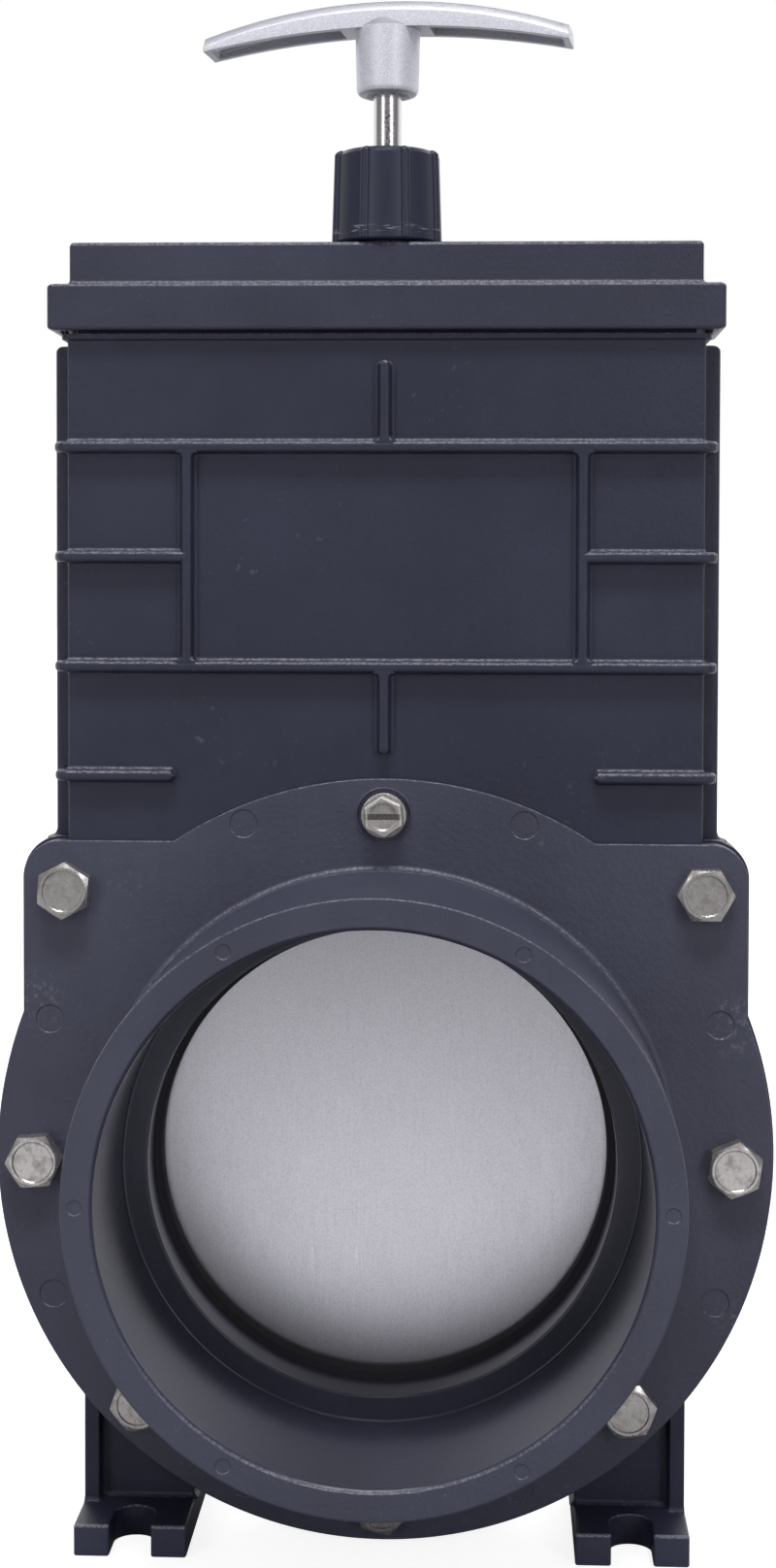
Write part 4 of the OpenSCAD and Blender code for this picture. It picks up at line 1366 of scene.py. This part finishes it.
class BuildLid(bpy.types.Operator):
    """Build the two-tier lid, with its coved step, round edges, neck and small beads of cement"""

    bl_idname = "gate_valve.lid"
    bl_label = "Lid"

    def execute(self, context):
        s = context.scene.valve_lid
        made = solid("lid_piece", loft(lid_rings(s), joined=True))
        front = -s.half_y + s.step_y - 0.1 * MM
        top_z = s.low_z + s.low_h + s.top_h + 0.1 * MM
        notches = [-s.half_x + 10.5 * MM, s.half_x - 7.5 * MM]
        dents = [ball((x, front, top_z), (1.3 * MM, 1.2 * MM, 0.75 * MM)) for x in notches]
        combine(made, solid("dents", *dents))
        finish(made, "lid_plastic", "valve", ["lid"])
        seam = s.low_z - 0.6 * MM
        spots = ((3.0, -9.5), (3.6, -7.2), (2.7, -3.0), (3.2, 4.1), (2.9, 8.8))
        beads = []
        for way in (-1, 1):
            for i, (out, y) in enumerate(spots):
                more = 0.1 * MM * (i % 3)
                place = (way * (s.half_x - out * MM), y * MM, seam + more)
                beads.append(ball(place, (0.5 * MM + more, 0.8 * MM, 0.45 * MM)))
        finish(solid("cement_beads", *beads), "lid_plastic", "valve", ["lid"])
        return {"FINISHED"}


def grip_rib(s, low, high):
    """One grip rib of the packing nut: a leaning half-sunk rod with a round top."""
    lean = s.draft / (high - low)
    dome = s.rib_r * 0.9
    bend = high - dome
    heights = [low + 0.3 * MM, bend]
    heights += [bend + dome * math.sin(math.radians(a)) for a in range(15, 91, 15)]
    rings = []
    for z in heights:
        over = max(z - bend, 0.0)
        radius = max(s.rib_r * math.sqrt(max(1 - (over / dome) ** 2, 0.0)), 0.02 * MM)
        centre = (s.foot_r - s.rib_r * 0.35 - lean * (z - low) - 0.35 * over, 0.0)
        rings.append(level(circle(radius, 20, centre), z + 0.02 * MM))
    return loft(rings, capped=True)


class BuildPackingNut(bpy.types.Operator):
    """Build the packing nut and its ring of round-topped grip ribs"""

    bl_idname = "gate_valve.packing_nut"
    bl_label = "Packing nut"

    def execute(self, context):
        s = context.scene.valve_nut
        lid = context.scene.valve_lid
        low, high = NUT_LOW.z, NUT_HIGH.z
        top_r = s.foot_r - s.draft
        inner = lid.neck_r + 0.1 * MM
        roof = LID_HIGH.z + 0.2 * MM
        hole = lid.hole_r + 0.1 * MM
        profile = [(inner, low), (s.foot_r - 0.35 * MM, low), (s.foot_r, low + 0.35 * MM)]
        profile += [(top_r + 0.05 * MM, high - s.bevel - 0.2 * MM), (top_r - 0.1 * MM, high - s.bevel)]
        profile += [(top_r - 0.75 * s.bevel, high - 0.25 * MM), (top_r - s.bevel - 0.2 * MM, high)]
        profile += [(hole + 0.3 * MM, high), (hole, high - 0.3 * MM), (hole, roof), (inner, roof)]
        shell = solid("packing_nut_piece", turned(profile, 96))
        ribs = solid("grip_ribs", grip_rib(s, low, high))
        ring_of(ribs, "nut_plastic", s.ribs, first=math.pi / s.ribs)
        for made in (shell, ribs):
            finish(made, "nut_plastic", "valve", ["packing_nut"])
        return {"FINISHED"}


class BuildSeals(bpy.types.Operator):
    """Build the two rubber seals, each with a round lip beside the blade"""

    bl_idname = "gate_valve.seals"
    bl_label = "Seals"

    def execute(self, context):
        s = context.scene.valve_gate
        hubs = context.scene.valve_hubs
        near = -SEAL_HIGH.y
        lip = 0.8 * MM
        profile = [(s.seal_out, near), (s.seal_out, hubs.plate_y), (hubs.bore_r - 0.2 * MM, hubs.plate_y)]
        profile += arc((s.seal_r + lip, hubs.plate_y - 1.4 * MM), lip, 90, 180, 5)
        profile += arc((s.seal_r + lip, near + lip), lip, 180, 270, 5)
        for side, where in SIDES:
            ring = spun([(r, side * y) for r, y in profile], (0.0, 0.0), 160, joined=True)
            made = solid(f"{where}_seal_piece", ring)
            finish(made, "seal_rubber", "valve", [f"{where}_seal"])
        return {"FINISHED"}


class BuildGate(bpy.types.Operator):
    """Build the steel blade, the rod that lifts it, and finish the yoke and packing"""

    bl_idname = "gate_valve.gate"
    bl_label = "Gate and rod"

    def execute(self, context):
        s = context.scene.valve_gate
        top = s.blade_top
        outline = arc((0, 0), s.blade_r, 180, 360, 120)
        outline += [(s.blade_r, top - s.corner), (s.blade_r - s.corner, top)]
        outline += [(-s.blade_r + s.corner, top), (-s.blade_r, top - s.corner)]
        edge = 0.2 * MM
        steps = [(-edge, -s.blade_y), (0.0, -s.blade_y + edge), (0.0, s.blade_y - edge), (-edge, s.blade_y)]
        blade = solid("blade", loft([upright(grown(outline, out), y) for out, y in steps], capped=True))
        finish(blade, "brushed_steel", "gate", ["gate_blade"], 50.0)
        low, high = ROD_LOW.z, ROD_HIGH.z
        chamfer = 0.4 * MM
        neck = low + s.head_h
        profile = [(0.0, low), (s.head_r - edge, low), (s.head_r, low + edge)]
        profile += [(s.head_r, neck - edge), (s.head_r - edge, neck), (s.rod_r, neck)]
        profile += [(s.rod_r, high - chamfer), (s.rod_r - chamfer, high), (0.0, high)]
        rod = solid("lift_rod", turned(profile, 64, joined=False))
        finish(rod, "bright_rod", "stem", ["rod"])
        for node, looks in (("blade_yoke", "brushed_steel"), ("packing_ring", "packing_cord")):
            kept = frame["nodes"][node]
            kept.data.materials.clear()
            kept.data.materials.append(material(looks))
        return {"FINISHED"}


# Handle


def arch_drop(x, half, rise):
    """How far an arch, from half of its width and its rise, has dropped at x from its middle."""
    radius = (half**2 + rise**2) / (2 * rise)
    return radius - math.sqrt(radius**2 - x**2)


def bar_section(s, top, low, ceiling):
    """A ring of the bar in Y and Z: sloping bands along its top, flat faces, and a channel under it."""
    y = s.half_y
    c = s.chamfer
    inner = y - s.wall
    edge = 0.25 * MM
    room = 0.3 * (ceiling - low)
    half = [(0.0, top), (y - 3.4 * MM, top - 0.04 * c), (y - 1.75 * MM, top - 0.14 * c)]
    half += [(y - 1.55 * MM, top - 0.2 * c), (y - 0.75 * MM, top - 0.58 * c)]
    half += [(y - 0.15 * MM, top - 0.94 * c), (y, top - 1.08 * c)]
    half += [(y, low + edge), (y - 0.3 * edge, low + 0.3 * edge), (y - edge, low)]
    half += [(inner + 0.2 * MM, low), (inner, low + min(0.2 * MM, room))]
    half += [(inner - 0.1 * MM, ceiling - room), (inner - 0.6 * MM, ceiling)]
    return half + [(-y, z) for y, z in reversed(half[1:])]


def handle_bar(s, top_z):
    """The arched bar: rings from its left end to its right, closed at both ends."""
    fall = s.rise + s.end_h - s.mid_h
    start = s.boss_r + 2.8 * MM
    stop = s.half - s.wall
    ramp = 0.9 * MM
    nose = 0.35 * MM
    places = {(-1.0 + 2.0 * i / 64) * (s.half - nose) for i in range(65)}
    for way in (-1, 1):
        places |= {way * (s.half - nose + nose * t) for t in (0.0, 0.4, 0.75, 1.0)}
        places |= {way * (start + ramp * t) for t in (0.0, 0.1, 0.25, 0.5, 1.0)}
        places |= {way * (stop - ramp * t) for t in (0.0, 0.1, 0.3, 0.6, 1.0)}
    rings = []
    for x in sorted(places):
        top = top_z - arch_drop(x, s.half, s.rise)
        low = top_z - s.mid_h - arch_drop(x, s.half, fall)
        room = min(abs(x) - start, stop - abs(x)) / ramp
        open_share = math.sqrt(1 - (1 - min(max(room, 0.0), 1.0)) ** 2)
        full = top - s.chamfer - low
        ring = bar_section(s, top, low, low + 0.02 * MM + full * open_share)
        past = max(abs(x) - (s.half - nose), 0.0)
        inset = nose - math.sqrt(max(nose**2 - past**2, 0.0))
        centre = (top + low) / 2
        squeeze_y = 1 - inset / s.half_y
        squeeze_z = 1 - 2 * inset / (top - low)
        rings.append([(x, y * squeeze_y, centre + (z - centre) * squeeze_z) for y, z in ring])
    return loft(rings, capped=True)


def handle_boss(s, hole_r, foot, top_z):
    """The boss under the bar, with a round foot, a recess for the rod and a fillet below the bar."""
    bar_foot = foot + s.boss_h
    bar_low = top_z - s.chamfer
    r = s.boss_r
    edge = s.boss_edge
    profile = [(hole_r, bar_low), (hole_r, foot + 1.6 * MM)]
    profile += [(s.recess_r - 0.3 * MM, foot + 1.0 * MM), (s.recess_r, foot + 0.7 * MM)]
    profile += [(s.recess_r, foot + 0.15 * MM), (s.recess_r + 0.15 * MM, foot)]
    profile += arc((r - 0.3 * MM - edge, foot + edge), edge, -70, 0, 7)
    profile += [(r, bar_foot - 0.3 * MM), (r, bar_foot + 0.3 * MM), (r - 1.9 * MM, bar_foot + 2.2 * MM)]
    profile += [(r - 2.4 * MM, bar_foot + 2.9 * MM), (r - 2.6 * MM, bar_low)]
    return turned(profile, 80)


class BuildHandle(bpy.types.Operator):
    """Build the cast handle: an arched bar with a channel under it, on a boss that holds the rod"""

    bl_idname = "gate_valve.handle"
    bl_label = "Handle"

    def execute(self, context):
        s = context.scene.valve_handle
        hole_r = context.scene.valve_gate.rod_r + 0.02 * MM
        top_z = HANDLE_HIGH.z
        made = solid("cast_handle", handle_bar(s, top_z), handle_boss(s, hole_r, HANDLE_LOW.z, top_z))
        made.data.transform(Matrix.Rotation(s.swing, 4, "Z"))
        finish(made, "cast_alloy", "stem", ["handle"], 28.0)
        return {"FINISHED"}


# Hardware


def facing_place(node, side, depth, angle):
    """A point on a node at a depth on one side of the valve, and the turn of what stands there."""
    x, z = middle(node)
    return (x, side * depth, z), (-side * math.pi / 2, side * angle, 0.0)


def facing_row(nodes, side, depth, degrees):
    """The places of a row of pieces, each on its node and turned by its own whole degrees."""
    return [facing_place(node, side, depth, math.radians(way)) for node, way in zip(nodes, degrees)]


def hexagons(name, places, sizes):
    """Chamfered hexagons at places, with their faces merged where they meet."""
    made = points_object(name, places)
    hex_tree().run(made, "stainless", sizes)
    points = [tuple(v.co) for v in made.data.vertices]
    made.data = joined_mesh(name, [(points, [tuple(f.vertices) for f in made.data.polygons])])
    return made


def finish_steel(made, nodes, sharp=25.0):
    """Finishes one of the steel pieces that hold the valve together."""
    finish(made, "stainless", "valve", nodes, sharp)


class BuildBolts(bpy.types.Operator):
    """Build the hex bolts' heads, and behind the valve their nuts and threaded ends"""

    bl_idname = "gate_valve.bolts"
    bl_label = "Bolts and nuts"

    def execute(self, context):
        s = context.scene.valve_hardware
        shared = {"Across flats": s.flats, "Crown radius": s.crown_r, "Edge": s.edge}
        head_dish = {"Dish radius": s.crown_r - 0.55 * MM, "Dish depth": s.dish}
        nut_dish = {"Dish radius": s.shank_r + 0.4 * MM, "Dish depth": 2 * s.dish}
        seat = FACE_Y - 0.02 * MM
        heads = facing_row(BOLTS, -1, seat, s.bolt_turns)
        nuts = facing_row(NUTS, 1, seat, s.nut_turns)
        finish_steel(hexagons("bolt_heads", heads, {"Height": s.head_h, **shared, **head_dish}), BOLTS)
        finish_steel(hexagons("hex_nuts", nuts, {"Height": s.nut_h, **shared, **nut_dish}), NUTS)
        sunk = 0.3 * MM
        nut_top = FACE_Y + s.nut_h
        made = points_object("bolt_ends", facing_row(NUTS, 1, nut_top - sunk, s.nut_turns))
        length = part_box(BOLTS[0])[1].y - nut_top + sunk
        sizes = {"Radius": s.shank_r, "Length": length, "Pitch": s.thread}
        thread_tree().run(made, "stainless", sizes)
        finish_steel(made, BOLTS)
        return {"FINISHED"}


class BuildScrews(bpy.types.Operator):
    """Build the two slotted hex screws with washer flanges, at the front and the rear"""

    bl_idname = "gate_valve.screws"
    bl_label = "Screws"

    def execute(self, context):
        s = context.scene.valve_hardware
        seat = FACE_Y - s.recess
        hex_foot = seat + s.washer_h
        hex_top = hex_foot + s.screw_h
        sizes = {
            "Across flats": s.screw_flats,
            "Height": s.screw_h,
            "Crown radius": s.screw_flats / 2 + 0.4 * MM,
            "Dish radius": s.screw_dish_r,
            "Dish depth": 0.5 * MM,
            "Edge": s.screw_edge,
        }
        edge = 0.25 * MM
        shank_y = 5.4 * MM
        profile = [(s.screw_r, shank_y), (s.screw_r, seat)]
        profile += [(s.washer_r - 0.1 * MM, seat), (s.washer_r, seat + 0.1 * MM)]
        profile += arc((s.washer_r - edge, hex_foot - edge), edge, 0, 90, 3)
        for side, where in SIDES:
            node = f"{where}_screw"
            z = middle(node)[1] - BORE_Z
            place = facing_place(node, side, hex_foot - 0.05 * MM, s.screw_turn - math.radians(30))
            made = hexagons(f"{node}_hex", [place], sizes)
            slot = [(px, pz + z) for px, pz in round_box(8.0 * MM, s.slot_w / 2, 0.1 * MM, 2)]
            ends = [upright(slot, side * y) for y in (hex_top - s.slot_h, hex_top + MM)]
            combine(made, solid("slot", loft(ends, capped=True)))
            finish_steel(made, [node])
            washer = solid(f"{node}_washer", spun([(r, side * y) for r, y in profile], (0.0, z), 64))
            finish_steel(washer, [node], 32.0)
        return {"FINISHED"}


# Studio


def area_light(name, place, target, size, power):
    """A soft rectangular white light that points at a target."""
    lamp = bpy.data.lights.new(name, "AREA")
    lamp.shape = "RECTANGLE"
    lamp.size, lamp.size_y = size
    lamp.energy = power
    made = new_object(name, lamp)
    made.location = place
    made.rotation_euler = (Vector(target) - Vector(place)).to_track_quat("-Z", "Y").to_euler()


class BuildStudio(bpy.types.Operator):
    """Set up the pale floor, the soft lights and the camera"""

    bl_idname = "gate_valve.studio"
    bl_label = "Studio"

    def execute(self, context):
        self.build_floor()
        self.build_lights()
        self.build_sky(context.scene)
        self.build_camera(context.scene, context.scene.valve_studio)
        return {"FINISHED"}

    def build_floor(self):
        """A wide level floor under the feet."""
        reach = 12.0
        mesh = bpy.data.meshes.new("floor")
        corners = ((-1, -1), (1, -1), (1, 1), (-1, 1))
        mesh.from_pydata([(x * reach, y * reach, 0.0) for x, y in corners], [], [(0, 1, 2, 3)])
        mesh.materials.append(material("pale_floor"))
        new_object("floor", mesh)

    def build_lights(self):
        """A light above the front, one at each side, and a wide one behind that lights the floor."""
        area_light("top_light", (0.0, -0.36, 1.10), (0.0, 0.0, 0.17), (0.5, 0.16), 7.5)
        for name, way, power in (("left_light", -1, 3.2), ("right_light", 1, 3.8)):
            area_light(name, (way * 0.75, -1.1, 0.55), (0.0, 0.0, 0.15), (0.26, 0.9), power)
        area_light("rear_light", (0.0, 1.9, 1.4), (0.0, 0.9, 0.0), (2.8, 1.2), 16.0)

    def build_sky(self, scene):
        """A sky that lights the valve from low behind, dimly all round, and looks white."""
        world = bpy.data.worlds.new("studio")
        world.use_nodes = True
        tree = Tree(world.node_tree)
        way = tree.add("ShaderNodeTexCoord", output="Generated")
        behind = tree.smooth(tree.part(way, "Y"), -0.1, 0.5, 0.0, 0.95)
        low = tree.smooth(tree.part(way, "Z"), 0.35, 0.7, 1.0, 0.3)
        shine = behind * low + 0.17
        sky = world.node_tree.nodes["Background"]
        tree.feed(sky.inputs["Color"], (1.0, 1.0, 1.0, 1.0))
        tree.feed(sky.inputs["Strength"], shine + (1.0 - shine) * tree.ray("Camera"))
        scene.world = world

    def build_camera(self, scene, s):
        """A camera before the valve, a little above it and to its right."""
        data = bpy.data.cameras.new("camera")
        data.sensor_fit = "AUTO"
        data.sensor_width = 36.0
        data.lens = s.lens
        data.shift_x = s.shift_x
        data.shift_y = s.shift_y
        data.clip_start = 0.01
        camera = new_object("camera", data)
        aim = Matrix.Rotation(s.heading, 4, "Z") @ Matrix.Rotation(math.radians(90) - s.tilt, 4, "X")
        camera.matrix_world = Matrix.Translation(s.eye) @ aim @ Matrix.Rotation(s.roll, 4, "Z")
        scene.camera = camera
        scene.view_settings.view_transform = "Standard"


class GateValvePanel(bpy.types.Panel):
    """Lists the steps that build the valve"""

    bl_idname = "VIEW3D_PT_gate_valve"
    bl_label = "Gate valve"
    bl_space_type = "VIEW_3D"
    bl_region_type = "UI"
    bl_category = "Gate valve"

    def draw(self, context):
        for step in STEPS:
            self.layout.operator(step.bl_idname)
        for name in GROUPS:
            group = getattr(context.scene, name)
            box = self.layout.box()
            for key in group.__annotations__:
                box.prop(group, key)


GROUPS = {
    "valve_hubs": HubSizes,
    "valve_body": BodySizes,
    "valve_lid": LidSizes,
    "valve_nut": NutSizes,
    "valve_gate": GateSizes,
    "valve_handle": HandleSizes,
    "valve_hardware": HardwareSizes,
    "valve_finishes": Finishes,
    "valve_studio": StudioSizes,
}
STEPS = (
    BuildStudio,
    BuildHubs,
    BuildPlate,
    BuildHousing,
    BuildRibs,
    BuildFeet,
    BuildLid,
    BuildPackingNut,
    BuildSeals,
    BuildGate,
    BuildHandle,
    BuildBolts,
    BuildScrews,
)


def register():
    """Registers the sizes, the steps and the panel."""
    for name, group in GROUPS.items():
        bpy.utils.register_class(group)
        setattr(bpy.types.Scene, name, PointerProperty(type=group))
    for step in STEPS:
        bpy.utils.register_class(step)
    bpy.utils.register_class(GateValvePanel)


def unregister():
    """Takes the sizes, the steps and the panel out again."""
    bpy.utils.unregister_class(GateValvePanel)
    for step in reversed(STEPS):
        bpy.utils.unregister_class(step)
    for name, group in reversed(GROUPS.items()):
        delattr(bpy.types.Scene, name)
        bpy.utils.unregister_class(group)


def main():
    """Builds the whole valve."""
    register()
    for step in STEPS:
        group, name = step.bl_idname.split(".")
        if getattr(getattr(bpy.ops, group), name)() != {"FINISHED"}:
            raise RuntimeError(f"{step.bl_label} was not built")


if __name__ == "__main__":
    main()
